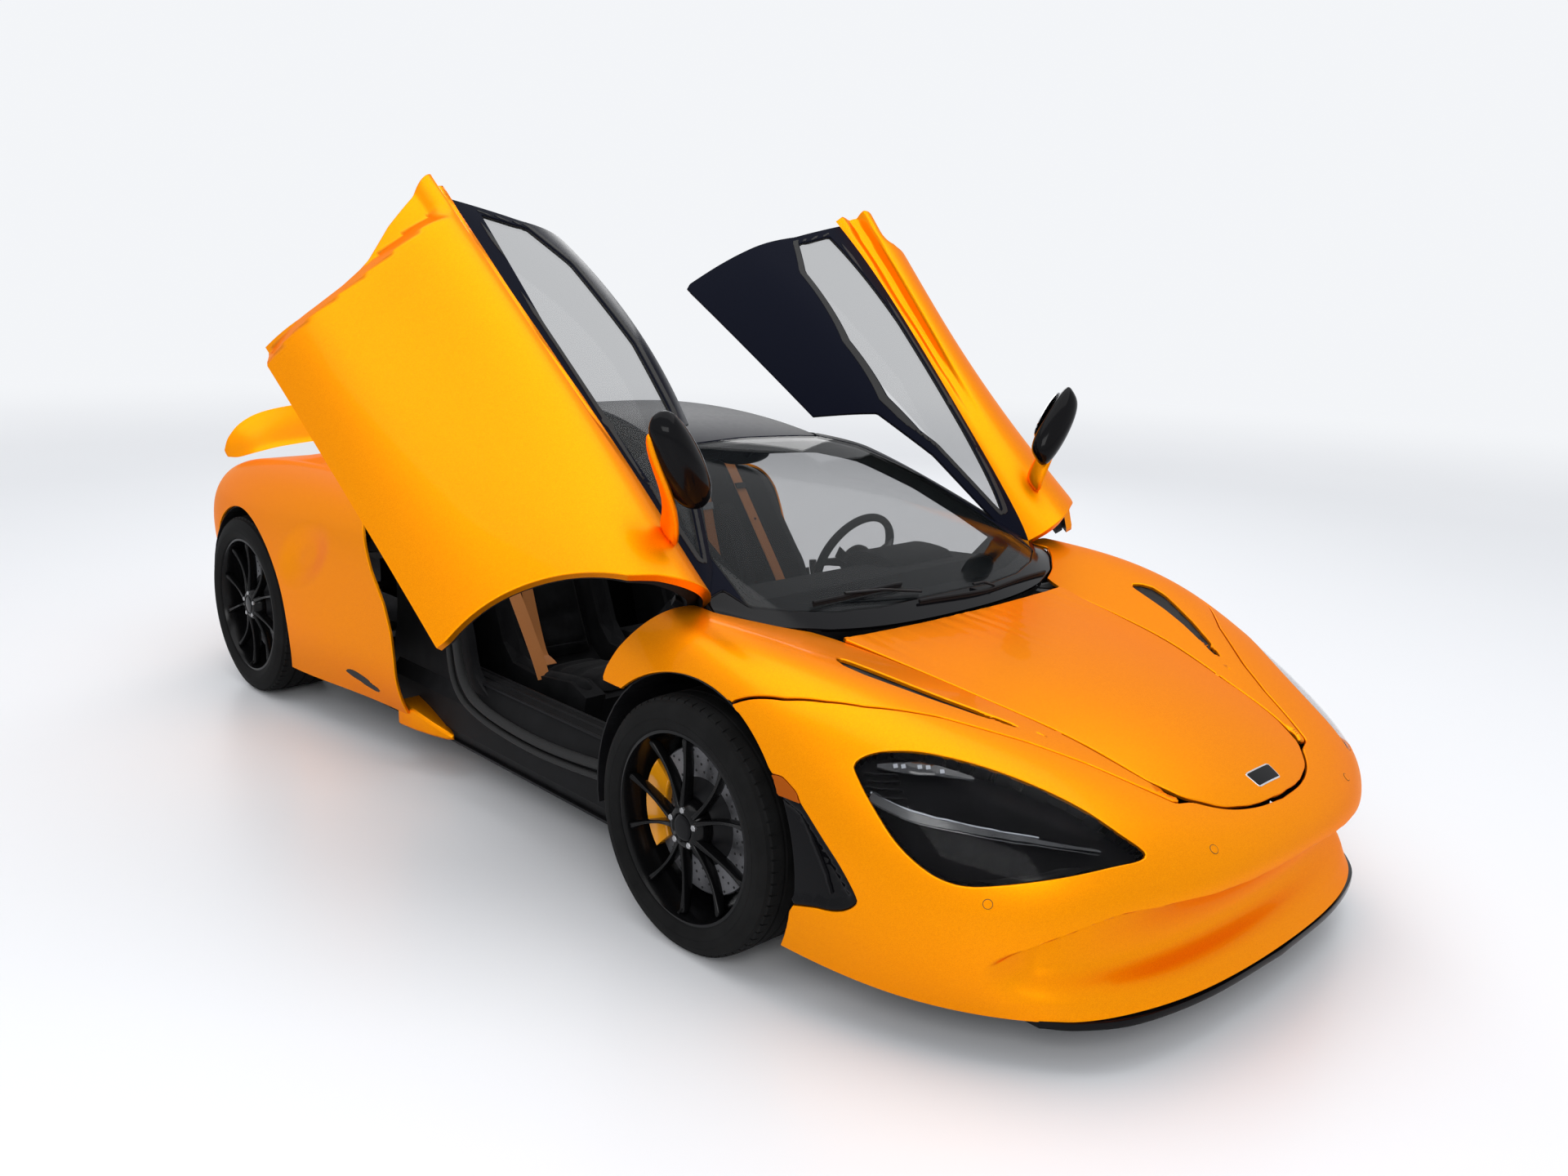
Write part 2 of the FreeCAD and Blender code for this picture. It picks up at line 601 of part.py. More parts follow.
def closed_door():
    """The left door as it lies when shut: outer skin, window frame and roof section in one shell."""
    lower = layer(flank_lines, 0.0, door_thickness, net_u, net_v).common(door_space(nose_gap, tail_gap))
    lower = lower.cut(across(front_hub.x, front_hub.z, door_front_radius + shut_gap, 0, high))
    return_strip = door_space(nose_gap, -10).cut(door_space(-10, tail_gap + return_width))
    lower = lower.cut(layer(flank_lines, return_depth, door_thickness + 20, net_u, net_v).common(return_strip))
    lower = main_solid(lower)
    upper_plan = head_outline(shut_gap)
    upper = canopy_layer(0.0, frame_thickness).common(plan_prism(upper_plan, 0, high))
    upper = main_solid(upper.common(door_space(nose_gap, tail_gap)))
    glass_edge = side_prism(grown(window, glass_bed), 300, high)
    rebate = canopy_layer(-2.0, glass_thickness + seat_gap).common(glass_edge)
    rebate = rebate.common(plan_prism(head_outline(head_rim - glass_bed / 2), 0, high))
    window_space = side_prism(window, 300, high).common(plan_prism(head_outline(head_rim), 0, high))
    upper = upper.cut(rebate).cut(window_space)
    pane_edge = side_prism(grown(window, glass_bed - seat_gap), 300, high)
    glass = canopy_layer(0.0, glass_thickness).common(pane_edge)
    glass = glass.common(plan_prism(head_outline(head_rim - glass_bed / 2 + seat_gap), 0, high))
    shell = main_solid(lower.fuse(upper))
    way = swing_axis
    barrel = Part.makeCylinder(20, 28, hinge - way * 12, way)
    arm_end = hinge + Vector(-60, 42, -48)
    side = (arm_end - hinge).cross(way)
    side.normalize()
    rings = []
    for point in (hinge, arm_end):
        rings.append([point + way * (a * 12) + side * (b * 13) for a, b in ((-1, -1), (1, -1), (1, 1), (-1, 1))])
    shell = shell.cut(Part.makeCylinder(30, 70, hinge - way * 35, way))
    shell = shell.fuse(barrel).fuse(ring_solid(rings))
    shell = shell.cut(Part.makeCylinder(hinge_pin_radius + pin_gap, 60, hinge - way * 30, way))
    around_frame = grown(canopy_front + door_inner[1:-1] + [(fore(-1765), 820), (fore(-1850), 0)], swing_gap)
    fixed = canopy_layer(-swing_gap, frame_thickness + swing_gap).common(plan_prism(around_frame, 0, high))
    for angle in swing_steps:
        passed = fixed.copy()
        passed.rotate(hinge, hinge_axis, -angle)
        shell = shell.cut(passed)
        glass = glass.cut(passed)
    return main_solid(shell), main_solid(glass)


def closed_mirror():
    """Mirror head and stalk of the left door as they lie when it is shut."""
    rings = []
    for y, width, height, middle in ((900, 20, 30, 870), (925, 60, 70, 890), (985, 110, 116, 905),
                                     (1045, 100, 104, 908), (1075, 50, 60, 908)):
        ring = []
        for k in range(10):
            turn = 2 * math.pi * k / 10
            ring.append(Vector(fore(-455) + width * 0.5 * math.cos(turn), y, middle + height * 0.5 * math.sin(turn)))
        rings.append(ring)
    stalk = ring_solid([[Vector(fore(-405), 828, 792), Vector(fore(-455), 828, 797), Vector(fore(-455), 820, 826),
                         Vector(fore(-405), 820, 824)],
                        [Vector(fore(-430), 935, 868), Vector(fore(-475), 935, 868), Vector(fore(-475), 935, 884),
                         Vector(fore(-430), 935, 884)]])
    return stalk.fuse(ring_solid(rings))


def opened(shape):
    """A left door piece swung up from shut to open."""
    shape = shape.copy()
    shape.rotate(hinge, hinge_axis, door_opening)
    return shape


door_shut, door_glass_shut = closed_door()
mirror_shut = closed_mirror().cut(door_shut)
mirror_shut = main_solid(mirror_shut)
for name, shape in (("door", door_shut), ("door_glass", door_glass_shut), ("mirror", mirror_shut)):
    open_shape = opened(shape)
    export(name + "_l", open_shape)
    export(name + "_r", mirrored(open_shape))

# Wheels, hubs and tyres
def spokes(hub, outward, rim_radius, face):
    """Slim spokes in pairs from the hub to the rim."""
    blades = []
    pairs = spoke_count // 2
    for k in range(spoke_count):
        pair_angle = 2 * math.pi * (k // 2 + 0.5) / pairs
        lean = -1 if k % 2 else 1
        tip = pair_angle + lean * math.pi / spoke_count
        root = pair_angle + lean * 0.16
        start = Vector(math.cos(root), 0, math.sin(root)) * (hub_radius - 14)
        end = Vector(math.cos(tip), 0, math.sin(tip)) * (rim_radius - rim_wall + 2)
        side = (end - start).cross(Vector(0, 1, 0))
        side.normalize()
        rings = []
        for point, half, front, depth in ((start, 13, face - 6, 44), (end, 7, face - 14, 34)):
            ring = []
            for s, d in ((-1, depth), (-0.5, 0), (0.5, 0), (1, depth)):
                ring.append(hub + point + side * (half * s) + Vector(0, outward * (front - d), 0))
            rings.append(ring)
        blades.append(ring_solid(rings))
    return blades


def disc_face(width):
    """How far outward of the wheel's middle the brake disc's outer face lies."""
    return width / 2 - disc_inset


def wheel(hub, outward, width, rim_radius):
    """Rim, spokes, hub with its spindle and the brake disc, as one turning solid."""
    half = width / 2
    face = half - face_inset
    place = disc_face(width)
    barrel = turned([(-half + 16, rim_radius), (-half + 16, rim_radius - 14), (half - 22, rim_radius - rim_wall),
                     (half - 22, rim_radius)], hub, outward, wheel_sides)
    centre = turned([(place - disc_thickness, 0), (place - disc_thickness, 78), (place, 78), (place, hub_radius),
                     (face - 4, hub_radius), (face, hub_radius - 16), (face, 0)], hub, outward, hub_sides)
    disc = turned([(place - disc_thickness, 70), (place - disc_thickness, disc_radius),
                   (place, disc_radius), (place, 70)], hub, outward, wheel_sides)
    spindle = Part.makeCylinder(spindle_radius, spindle_length + 20, hub + Vector(0, outward * (place - 20), 0),
                                Vector(0, -outward, 0))
    return joined([centre, disc, barrel, spindle] + spokes(hub, outward, rim_radius, face))


def tyre(hub, outward, width, rim_radius, radius):
    half = width / 2
    seat = rim_radius + seat_gap
    tread = radius / math.cos(math.pi / wheel_sides)
    return turned([(-half + 17, seat), (-half, seat + 42), (-half + 16, tread - 6), (-half + 40, tread),
                   (half - 40, tread), (half - 16, tread - 6), (half, seat + 42), (half - 20, seat)],
                  hub, outward, wheel_sides)


def knuckle(hub, outward, width, inset):
    """Upright with the wheel bearing's bore, ball pins above and below, and the caliper's seat."""
    bearing_face = disc_face(width) - disc_thickness - hub_gap
    inner_face = bearing_face - spindle_length
    body = turned([(inner_face, 0), (inner_face, 58), (bearing_face, 58), (bearing_face, 0)],
                  hub, outward, hub_sides)
    upright = []
    for side in (-1, 1):
        top = hub + Vector(0, -outward * inset, side * (ball_height - 14))
        low = hub + Vector(0, -outward * inset, side * 40)
        rings = []
        for centre, wide in ((top, 20), (low, 40)):
            rings.append([centre + Vector(a * wide, outward * b, 0)
                          for a, b in ((-1, -15), (1, -15), (1, 15), (-1, 15))])
        upright.append(ring_solid(rings))
        upright.append(Part.makeCylinder(ball_radius, 34, top, Vector(0, 0, side)))
    shape = joined([body] + upright)
    bore = Part.makeCylinder(spindle_radius + running_gap, 400, hub + Vector(0, -200, 0), Vector(0, 1, 0))
    return shape.cut(bore)


def caliper(hub, outward, width, toward):
    """Brake caliper over the disc's edge with its arm to the upright, on one side of the axle."""
    place = disc_face(width)
    inner = place - disc_thickness
    low = inner - 30
    outline = []
    for turn in (-34, -17, 0, 17, 34):
        angle = math.radians(turn)
        outline.append((hub.x + toward * (disc_radius + 22) * math.cos(angle),
                        hub.z + (disc_radius + 22) * math.sin(angle)))
    for turn in (34, 0, -34):
        angle = math.radians(turn)
        outline.append((hub.x + toward * (disc_radius - 62) * math.cos(angle),
                        hub.z + (disc_radius - 62) * math.sin(angle)))
    y_ends = sorted((hub.y + outward * low, hub.y + outward * (place + 18)))
    block = side_prism(outline, y_ends[0], y_ends[1])
    slot = turned([(inner - 7, 0), (inner - 7, disc_radius + 7), (place + 7, disc_radius + 7),
                   (place + 7, 0)], hub, outward, wheel_sides)
    arm_ends = sorted((hub.y + outward * low, hub.y + outward * (low - 14)))
    arm = box(min(hub.x + toward * 30, hub.x + toward * 190), max(hub.x + toward * 30, hub.x + toward * 190),
              arm_ends[0], arm_ends[1], hub.z - 34, hub.z + 34)
    return block.cut(slot).fuse(arm)


corners = {"f": (front_hub, front_tyre_width, front_rim_radius, front_tyre_radius, -1, kingpin_inset),
           "r": (rear_hub, rear_tyre_width, rear_rim_radius, rear_tyre_radius, 1, rear_arm_inset)}
for corner, (hub, width, rim_radius, radius, toward, inset) in corners.items():
    upright = knuckle(hub, 1, width, inset)
    brake = caliper(hub, 1, width, toward).cut(upright)
    pieces = {"wheel_": wheel(hub, 1, width, rim_radius), "tyre_": tyre(hub, 1, width, rim_radius, radius)}
    if corner == "f":
        pieces["knuckle_"] = upright
        pieces["caliper_"] = brake
    else:
        export("knuckles_rear", pair(upright))
        export("calipers_rear", pair(brake))
    for kind, shape in pieces.items():
        export(kind + corner + "l", shape)
        export(kind + corner + "r", mirrored(shape))

# Passenger cell: floor, sills, bulkheads, hinge posts and the windscreen frame above them
cell_front_x = fore(cell_front)
cell_rear_x = fore(cell_rear)
toe_half = 540.0
wall_top = 700.0
post_inner = 596.0
post_outer = 660.0
sill_front_x = fore(-400)
floor_top = floor_bottom + floor_thickness
wheel_clear = across(front_hub.x, front_hub.z, arch_radius + 8, post_inner - 50, high)
sill_section = [(sill_inner, floor_bottom), (sill_inner, floor_top), (sill_inner + 25, sill_height - 20),
                (sill_inner + 70, sill_height), (sill_outer - 60, sill_height), (sill_outer - 8, sill_height - 80),
                (sill_outer, floor_top + 20), (sill_outer - 30, floor_bottom)]
sill = section_prism(sill_section, cell_rear_x, sill_front_x)
floor_plate = box(cell_rear_x, sill_front_x, 0, sill_inner + 5, floor_bottom, floor_top)
toe_floor = box(sill_front_x - 5, cell_front_x, 0, toe_half, floor_bottom, floor_top)
toe_wall = box(sill_front_x - 5, cell_front_x, toe_half - 24, toe_half, floor_bottom, wall_top)
toe_web = box(sill_front_x - 30, sill_front_x, toe_half - 24, sill_inner + 60, floor_bottom, wall_top)
firewall = box(cell_front_x - bulkhead_thickness, cell_front_x, 0, toe_half, floor_bottom, wall_top)
rear_wall = box(cell_rear_x, cell_rear_x + bulkhead_thickness, 0, sill_outer - 60, floor_bottom, bulkhead_height)
post = side_prism([(sill_front_x - 30, 690), (sill_front_x - 110, 300), (sill_front_x, 300), (fore(-170), 790),
                   (fore(-300), 830)], post_inner, post_outer)
roof_side = canopy_layer(-200.0, 20.0)
swing_room = Part.makeCylinder(100, 60, hinge - swing_axis * 14, swing_axis)
barrel_room = Part.makeCylinder(27, 60, hinge - swing_axis * 14, swing_axis)
hinge_pin = Part.makeCylinder(hinge_pin_radius, 78, hinge - swing_axis * 60, swing_axis)
post = post.cut(roof_side).cut(wheel_clear).cut(swing_room)
scuttle = box(cell_front_x - 20, fore(-15), 0, toe_half, wall_top - 12, wall_top)
rear_post = box(cell_rear_x, cell_rear_x + bulkhead_thickness, 560, 700, bulkhead_height - 20, 900)
rear_post = rear_post.cut(roof_side)
frame_half = frame_half.cut(barrel_room)
cell_half = joined([floor_plate, sill, toe_floor, toe_wall, toe_web, firewall, rear_wall, post, scuttle,
                    rear_post, frame_half, hinge_pin])
export("passenger_cell", both(cell_half))

# Front and rear frames: rails, cross beams and the towers that carry the suspension
front_beam_x = fore(760)
rear_beam_x = aft(-485)
beam_depth = 40.0


def suspension_tower(hub):
    """Tower over one rail with feet below it for the lower arms."""
    tower = box(hub.x - tower_half_length, hub.x + tower_half_length, rail_inner, rail_outer,
                rail_top, hub.z + ball_height + 40)
    for side in (-1, 1):
        foot_x = hub.x + side * (tower_half_length - 15)
        tower = tower.fuse(box(foot_x - 15, foot_x + 15, rail_inner, rail_outer,
                               hub.z - ball_height - 18, rail_bottom))
    return tower.cut(box(hub.x - 110, hub.x + 110, rail_inner - 10, rail_outer + 10, rail_top, hub.z + 110))


front_rail = box(cell_front_x, front_beam_x, rail_inner, rail_outer, rail_bottom, rail_top)
front_beam = box(front_beam_x, front_beam_x + beam_depth, 0, 500, rail_bottom + 10, rail_top + 40)
front_frame = both(joined([front_rail, front_beam, suspension_tower(front_hub)]))
tow_socket = Part.makeCylinder(tow_radius, 200, Vector(tow_x - 100, tow_offset, tow_height), Vector(1, 0, 0))
front_frame = front_frame.cut(tow_socket)
export("front_frame", front_frame)
rear_rail = box(rear_beam_x, cell_rear_x, rail_inner, rail_outer, rail_bottom, rail_top)
rear_beam = box(rear_beam_x - beam_depth, rear_beam_x, 0, 480, rail_bottom + 40, rail_top + 130)
rear_post_up = box(rear_beam_x - beam_depth, rear_beam_x, rail_inner, rail_outer, rail_top + 130, 560)
rear_tower = suspension_tower(rear_hub)
rear_frame = both(joined([rear_rail, rear_beam, rear_post_up, rear_tower]))
export("rear_frame", rear_frame)


def wishbone(hub, side, inset):
    """One A-shaped arm from the rail's face to the upright's pin, above or below the axle."""
    middle = hub.z + side * ball_height
    eye_y = hub.y - inset
    low = middle - arm_thickness / 2
    arm = many_sided(Vector(hub.x, eye_y, low), Vector(0, 0, arm_thickness), arm_eye_radius, 12)
    for way in (-1, 1):
        foot = hub.x + way * (tower_half_length - 15)
        leg = plan_prism([(foot - way * 14, rail_outer), (foot + way * 14, rail_outer),
                          (hub.x + way * 16, eye_y - 4), (hub.x - way * 4, eye_y - 14)], low, low + arm_thickness)
        arm = arm.fuse(leg)
    return arm.cut(Part.makeCylinder(ball_radius + pin_gap, 80, Vector(hub.x, eye_y, low - 20)))


arms = []
for hub, inset in ((front_hub, kingpin_inset), (rear_hub, rear_arm_inset)):
    for side in (-1, 1):
        arms.append(wishbone(hub, side, inset))
shaft_end = rear_hub.y + disc_face(rear_tyre_width) - 20 - spindle_length - 20 - seat_gap
shaft_length = shaft_end - gearbox_half_width
shaft = many_sided(Vector(rear_hub.x, gearbox_half_width, rear_hub.z), Vector(0, shaft_length, 0), 17, 16)
export("suspension_arms", Part.makeCompound(arms + [mirrored(arm) for arm in arms]))
export("drive_shafts", pair(shaft))

# Luggage bay between the front rails
bay_start = fore(25)
bay_end = bay_start + bay_length
bay_profile = [(bay_start, bay_bottom), (bay_end, bay_bottom), (bay_end, 600), (bay_start, 695)]
bay_hollow = [(bay_start + bay_wall, bay_bottom + bay_wall), (bay_end - bay_wall, bay_bottom + bay_wall),
              (bay_end - bay_wall, 800), (bay_start + bay_wall, 800)]
bay = side_prism(bay_profile, -rail_inner, rail_inner)
bay = bay.cut(side_prism(bay_hollow, -rail_inner + bay_wall, rail_inner - bay_wall))
export("luggage_bay", bay)

# Engine with its gearbox, one block resting on the rails
engine_front = cell_rear_x - 70
engine_rear = engine_front - engine_length
engine = box(engine_rear, engine_front, -engine_half_width, engine_half_width, engine_bottom, engine_top)
gearbox = box(engine_rear - gearbox_length, engine_rear, -gearbox_half_width, gearbox_half_width,
              engine_bottom + 50, engine_top - 170)
engine = engine.fuse(gearbox)
for mount_x in (engine_rear + 80, engine_front - 120):
    engine = engine.fuse(box(mount_x, mount_x + 60, -rail_outer, rail_outer, rail_top, rail_top + 40))
export("engine", engine)

# Silencer across the rear frame with two high tail pipes
silencer_low = 560.0
silencer = box(rear_beam_x - 80, rear_beam_x + 100, -rail_outer, rail_outer, silencer_low, silencer_low + 180)
pipe = exhaust_bar(exhaust_radius, tail_x + 12, rear_beam_x - 80)
pipe = pipe.cut(exhaust_bar(exhaust_radius - 5, tail_x, rear_beam_x - 110))
export("exhaust", silencer.fuse(pipe).fuse(mirrored(pipe)))

# Splitter, floor trays and diffuser
splitter_plan = [(fore(560), 0), (fore(560), 700), (nose_x - 225, 700), (nose_x - 160, 640), (nose_x - 92, 520),
                 (nose_x - 40, 300), (nose_x - 28, 0)]
splitter = plan_prism(splitter_plan, splitter_bottom, splitter_bottom + splitter_thickness)
tray_top = floor_bottom
tray_plan = [(fore(560), 0), (fore(560), 540), (sill_front_x, 540), (sill_front_x, 790), (aft(350), 790),
             (aft(330), 560), (aft(-380), 560), (aft(-380), 0)]
tray = plan_prism(tray_plan, tray_top - tray_thickness, tray_top)
splitter = splitter.cut(tray).cut(bumper_half)
splitter = main_solid(splitter)
export("splitter", both(splitter))
export("floor_tray", both(tray))
diffuser_start = aft(-380)
diffuser_end = tail_x
diffuser = side_prism([(diffuser_start, tray_top - tray_thickness), (diffuser_start, tray_top),
                       (diffuser_end, 292), (diffuser_end, 284)], 0, 560)
for fin_y in (-4, 176, 356, 536):
    fin = side_prism([(diffuser_start - 40, tray_top), (diffuser_end, 286), (diffuser_end, 190),
                      (diffuser_start - 120, tray_top)], max(fin_y, 0), fin_y + 8)
    diffuser = diffuser.fuse(fin)
diffuser = main_solid(diffuser.cut(tail_half).cut(haunch_left))
export("diffuser", both(diffuser))

# Rear wing raised on two struts, its ends curled down
wing_rows = [(0, (aft(-470), 905), (aft(-670), 1050)), (350, (aft(-475), 903), (aft(-673), 1043)),
             (560, (aft(-495), 885), (aft(-675), 1018)), (670, (aft(-520), 862), (aft(-675), 975)),
             (735, (aft(-565), 840), (aft(-665), 915)), (762, (aft(-605), 838), (aft(-650), 862))]
wing_thickness = 22.0
wing_rings = []
for y, nose_point, tail_point in wing_rows:
    lead = Vector(nose_point[0], y, nose_point[1])
    trail = Vector(tail_point[0], y, tail_point[1])
    chord = trail - lead
    upward = Vector(-chord.z, 0, chord.x)
    upward.normalize()
    if upward.z < 0:
        upward = upward * -1.0
    thick = wing_thickness * min(chord.Length / 240, 1.0)
    ring = []
    for share, rise in ((0, 0), (0.15, -0.1), (0.5, -0.55), (1, -0.3), (1, -0.15), (0.5, -1.35), (0.15, -0.9)):
        ring.append(lead + chord * share + upward * (thick * rise))
    wing_rings.append(ring)
wing = ring_solid([[Vector(p.x, -p.y, p.z) for p in ring] for ring in wing_rings[:0:-1]] + wing_rings)
export("rear_wing", wing)
strut = side_prism([(aft(-500), 700), (aft(-500), 1100), (aft(-600), 1100), (aft(-600), 700)], 265, 285)
strut = strut.cut(canopy_layer(-seat_gap, 60.0)).cut(wing)
strut = sorted(strut.Solids, key=lambda solid: solid.CenterOfMass.z)[1]
export("wing_struts", pair(strut))

# Lamps and side blades
lamp_dish = layer(flank_lines, panel_thickness + seat_gap, 48.0, net_u, net_v)
dish_outline = [(x - 4, y, z) for x, y, z in lamp_outline]
lamp_centre = Vector(0, 0, 0)
for point in lamp_outline:
    lamp_centre += Vector(*point) * (1.0 / len(lamp_outline))
dish_outline = [tuple(lamp_centre + (Vector(*point) - lamp_centre) * 1.06) for point in lamp_outline]
lamp = main_solid(lamp_dish.common(outline_cutter(dish_outline, lamp_direction, 400)))
export("headlamps", pair(lamp))
blade_skin = layer(flank_lines, 4.0, 22.0, net_u, net_v).cut(across(front_hub.x, front_hub.z, arch_radius, 0, high))
blade_inset = grown(blade_outline, -seat_gap)
blade = main_solid(blade_skin.common(side_prism(blade_inset, 800, high)))
export("side_blades", pair(blade))
strip_outline = grown(tail_lamp_outline, -seat_gap)
strip = layer(flank_lines, 1.0, 9.0, net_u, net_v)
strip = main_solid(strip.common(section_prism(strip_outline, tail_x - 100, aft(-520))))
export("tail_lamps", pair(strip))

# Wheel-arch liners inside the panels
liners = []
for hub, inner, outer in ((front_hub, 560, 922), (rear_hub, 610, 935)):
    liner_radius = arch_radius - seat_gap
    liner = many_sided(Vector(hub.x, inner, hub.z), Vector(0, outer - inner, 0), liner_radius, wheel_sides)
    liner = liner.cut(many_sided(Vector(hub.x, 0, hub.z), Vector(0, high, 0), liner_radius - liner_thickness, wheel_sides))
    liner = liner.cut(box(hub.x - 500, hub.x + 500, 0, high, -100, hub.z - 60))
    liners.append(liner)
liner_compound = Part.makeCompound(liners + [mirrored(liner) for liner in liners])
export("arch_liners", liner_compound)

# Seats: one shell each with side bolsters
seat_profile = [(200, floor_top), (240, 330), (150, 335), (-60, 285), (-215, 272), (-300, 330), (-420, 640),
                (-480, 880), (-545, 895), (-570, 860), (-490, 560), (-400, 240), (-330, floor_top)]
bolster_profile = [(190, floor_top), (235, 345), (150, 375), (-60, 350), (-190, 360), (-250, 420), (-340, 640),
                   (-420, 760), (-480, 700), (-490, 560), (-400, 240), (-330, floor_top)]


def seat(offset):
    middle = side_prism(seat_profile, offset - seat_width / 2 + 70, offset + seat_width / 2 - 70)
    for start in (offset - seat_width / 2, offset + seat_width / 2 - 75):
        middle = middle.fuse(side_prism(bolster_profile, start, start + 75))
    return middle


seat_left = seat(seat_offset)
export("seat_l", seat_left)
export("seat_r", mirrored(seat_left))
belt_line = [(-483, 880), (-423, 640), (-303, 330), (-215, 275)]
belt_outer = [(x + 3, z + 1) for x, z in belt_line]
belt = side_prism([(x + pin_gap, z) for x, z in belt_line] + belt_outer[::-1], seat_offset + 60, seat_offset + 106)
belt = belt.cut(seat_left)
export("seat_belts", pair(main_solid(belt)))

# Dashboard with the console, and the steering wheel on its column
dash = side_prism([(930, 600), (930, 725), (860, 765), (660, 750), (600, 690), (615, 610), (700, 560)], -post_inner, post_inner)
dash = dash.fuse(side_prism([(-330, floor_top), (-330, 330), (100, 345), (330, 430), (700, 620), (780, 600), (780, floor_top)],
                            -90, 90))
column_way = Vector(-math.cos(math.radians(column_angle)), 0, math.sin(math.radians(column_angle)))
wheel_centre = Vector(470, steering_offset, 715)
shroud = Part.makeCylinder(42, 160, wheel_centre - column_way * 60 - column_way * 160, column_way)
shroud_bore = Part.makeCylinder(column_radius + pin_gap, 120, wheel_centre - column_way * 120 - column_way * 50, column_way)
dash = dash.fuse(shroud).cut(shroud_bore).cut(both(cell_half)).cut(pair(wheel_clear))
dash = main_solid(dash)
export("dashboard", dash)


def steering_wheel():
    """Rim, three spokes, boss and shaft about an upright axis, then leaned to the column."""
    rim_profile = []
    for k in range(8):
        angle = 2 * math.pi * k / 8
        rim_profile.append((16 * math.sin(angle), steering_wheel_radius - 16 + 16 * math.cos(angle)))
    rim = turned(rim_profile, Vector(0, 0, 0), 1, 24)
    boss = turned([(-22, 0), (-22, 45), (22, 55), (22, 0)], Vector(0, 0, 0), 1, 12)
    shape = rim.fuse(boss)
    for angle in (0, 180, 270):
        spoke = box(40, steering_wheel_radius - 10, -8, 8, -16, 16)
        spoke.rotate(Vector(0, 0, 0), Vector(0, 1, 0), -angle)
        shape = shape.fuse(spoke)
    shape = shape.fuse(Part.makeCylinder(column_radius, 150, Vector(0, -150, 0), Vector(0, 1, 0)))
    return shape


handwheel = steering_wheel()
handwheel.rotate(Vector(0, 0, 0), Vector(0, 0, 1), 90)
handwheel.rotate(Vector(0, 0, 0), Vector(0, 1, 0), column_angle)
handwheel.translate(wheel_centre)
export("steering_wheel", handwheel)


# Wipers parked on the glass and the cowl
def on_canopy(x, y, height):
    """The point above a place of the canopy, found along its centre-to-belt lines."""
    surface = spline_surface(canopy_lines)
    place = Vector(x, abs(y), 2000)
    line = Part.makeLine(place, Vector(x, abs(y), 0))
    hits = line.Curve.intersect(surface)
    point = max(hits[0], key=lambda p: p.Z) if hits and hits[0] else None
    return Vector(x, y, point.Z + height)


def blade_bar(points, half_width_bar, thickness):
    rings = []
    for point in points:
        rings.append([point + Vector(a * half_width_bar, 0, b * thickness) for a, b in ((-1, 0), (1, 0), (1, 1), (-1, 1))])
    return ring_solid(rings)


wipers = []
for path in wiper_paths:
    bar = blade_bar([on_canopy(x, y, 2.0) for x, y in path], 9, 14)
    bar = main_solid(bar.cut(both(canopy_layer(-seat_gap, 60))))
    wipers.append(bar)
export("wipers", Part.makeCompound(wipers))
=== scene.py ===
import math
import bpy
import bmesh
import numpy as np
from mathutils import Matrix, Vector


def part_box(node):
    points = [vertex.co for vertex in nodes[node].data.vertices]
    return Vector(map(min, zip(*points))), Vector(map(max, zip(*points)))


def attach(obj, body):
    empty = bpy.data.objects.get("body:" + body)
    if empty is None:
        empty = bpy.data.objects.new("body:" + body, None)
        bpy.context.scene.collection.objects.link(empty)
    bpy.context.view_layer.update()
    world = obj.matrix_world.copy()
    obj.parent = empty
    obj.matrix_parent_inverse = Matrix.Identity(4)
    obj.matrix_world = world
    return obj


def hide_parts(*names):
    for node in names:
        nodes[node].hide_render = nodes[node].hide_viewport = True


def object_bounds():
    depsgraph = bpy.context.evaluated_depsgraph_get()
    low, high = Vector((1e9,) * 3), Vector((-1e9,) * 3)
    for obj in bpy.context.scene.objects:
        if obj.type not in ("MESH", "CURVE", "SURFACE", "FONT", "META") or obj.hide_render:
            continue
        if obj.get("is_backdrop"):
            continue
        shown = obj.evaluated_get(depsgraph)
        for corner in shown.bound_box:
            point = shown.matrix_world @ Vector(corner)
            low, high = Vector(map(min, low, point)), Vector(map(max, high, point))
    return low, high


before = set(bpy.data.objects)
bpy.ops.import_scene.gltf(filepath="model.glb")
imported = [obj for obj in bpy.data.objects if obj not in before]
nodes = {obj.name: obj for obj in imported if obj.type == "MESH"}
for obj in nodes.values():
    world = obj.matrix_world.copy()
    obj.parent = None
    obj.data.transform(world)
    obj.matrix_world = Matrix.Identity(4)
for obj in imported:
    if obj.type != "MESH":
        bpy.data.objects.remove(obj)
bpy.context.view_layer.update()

mm = 0.001          # every size below is in millimetres, and meshes are made in metres


def centreOf(node):
    low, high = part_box(node)
    return (low + high) / 2 / mm


frontX = centreOf("tyre_fl").x
rearX = centreOf("tyre_rl").x
car = {"halfWidth": 965, "height": 1196, "noseX": frontX + 1129.5, "tailX": rearX - 769.5}
halfWidth = car["halfWidth"]
noseX = car["noseX"]
tailX = car["tailX"]


def fore(distance):
    return frontX + distance


def aft(distance):
    return rearX + distance


def noseRow(rows):
    return [(noseX - back, y, z) for back, y, z in rows]


def tailRow(rows):
    return [(tailX + ahead, y, z) for ahead, y, z in rows]


def sideRow(x, rows, shifts=(0, 0, 0)):
    lead = list(shifts) + [0] * (len(rows) - len(shifts))
    return [(x + step, halfWidth - inset, z) for step, (inset, z) in zip(lead, rows)]


def crown(drop):
    return car["height"] - drop


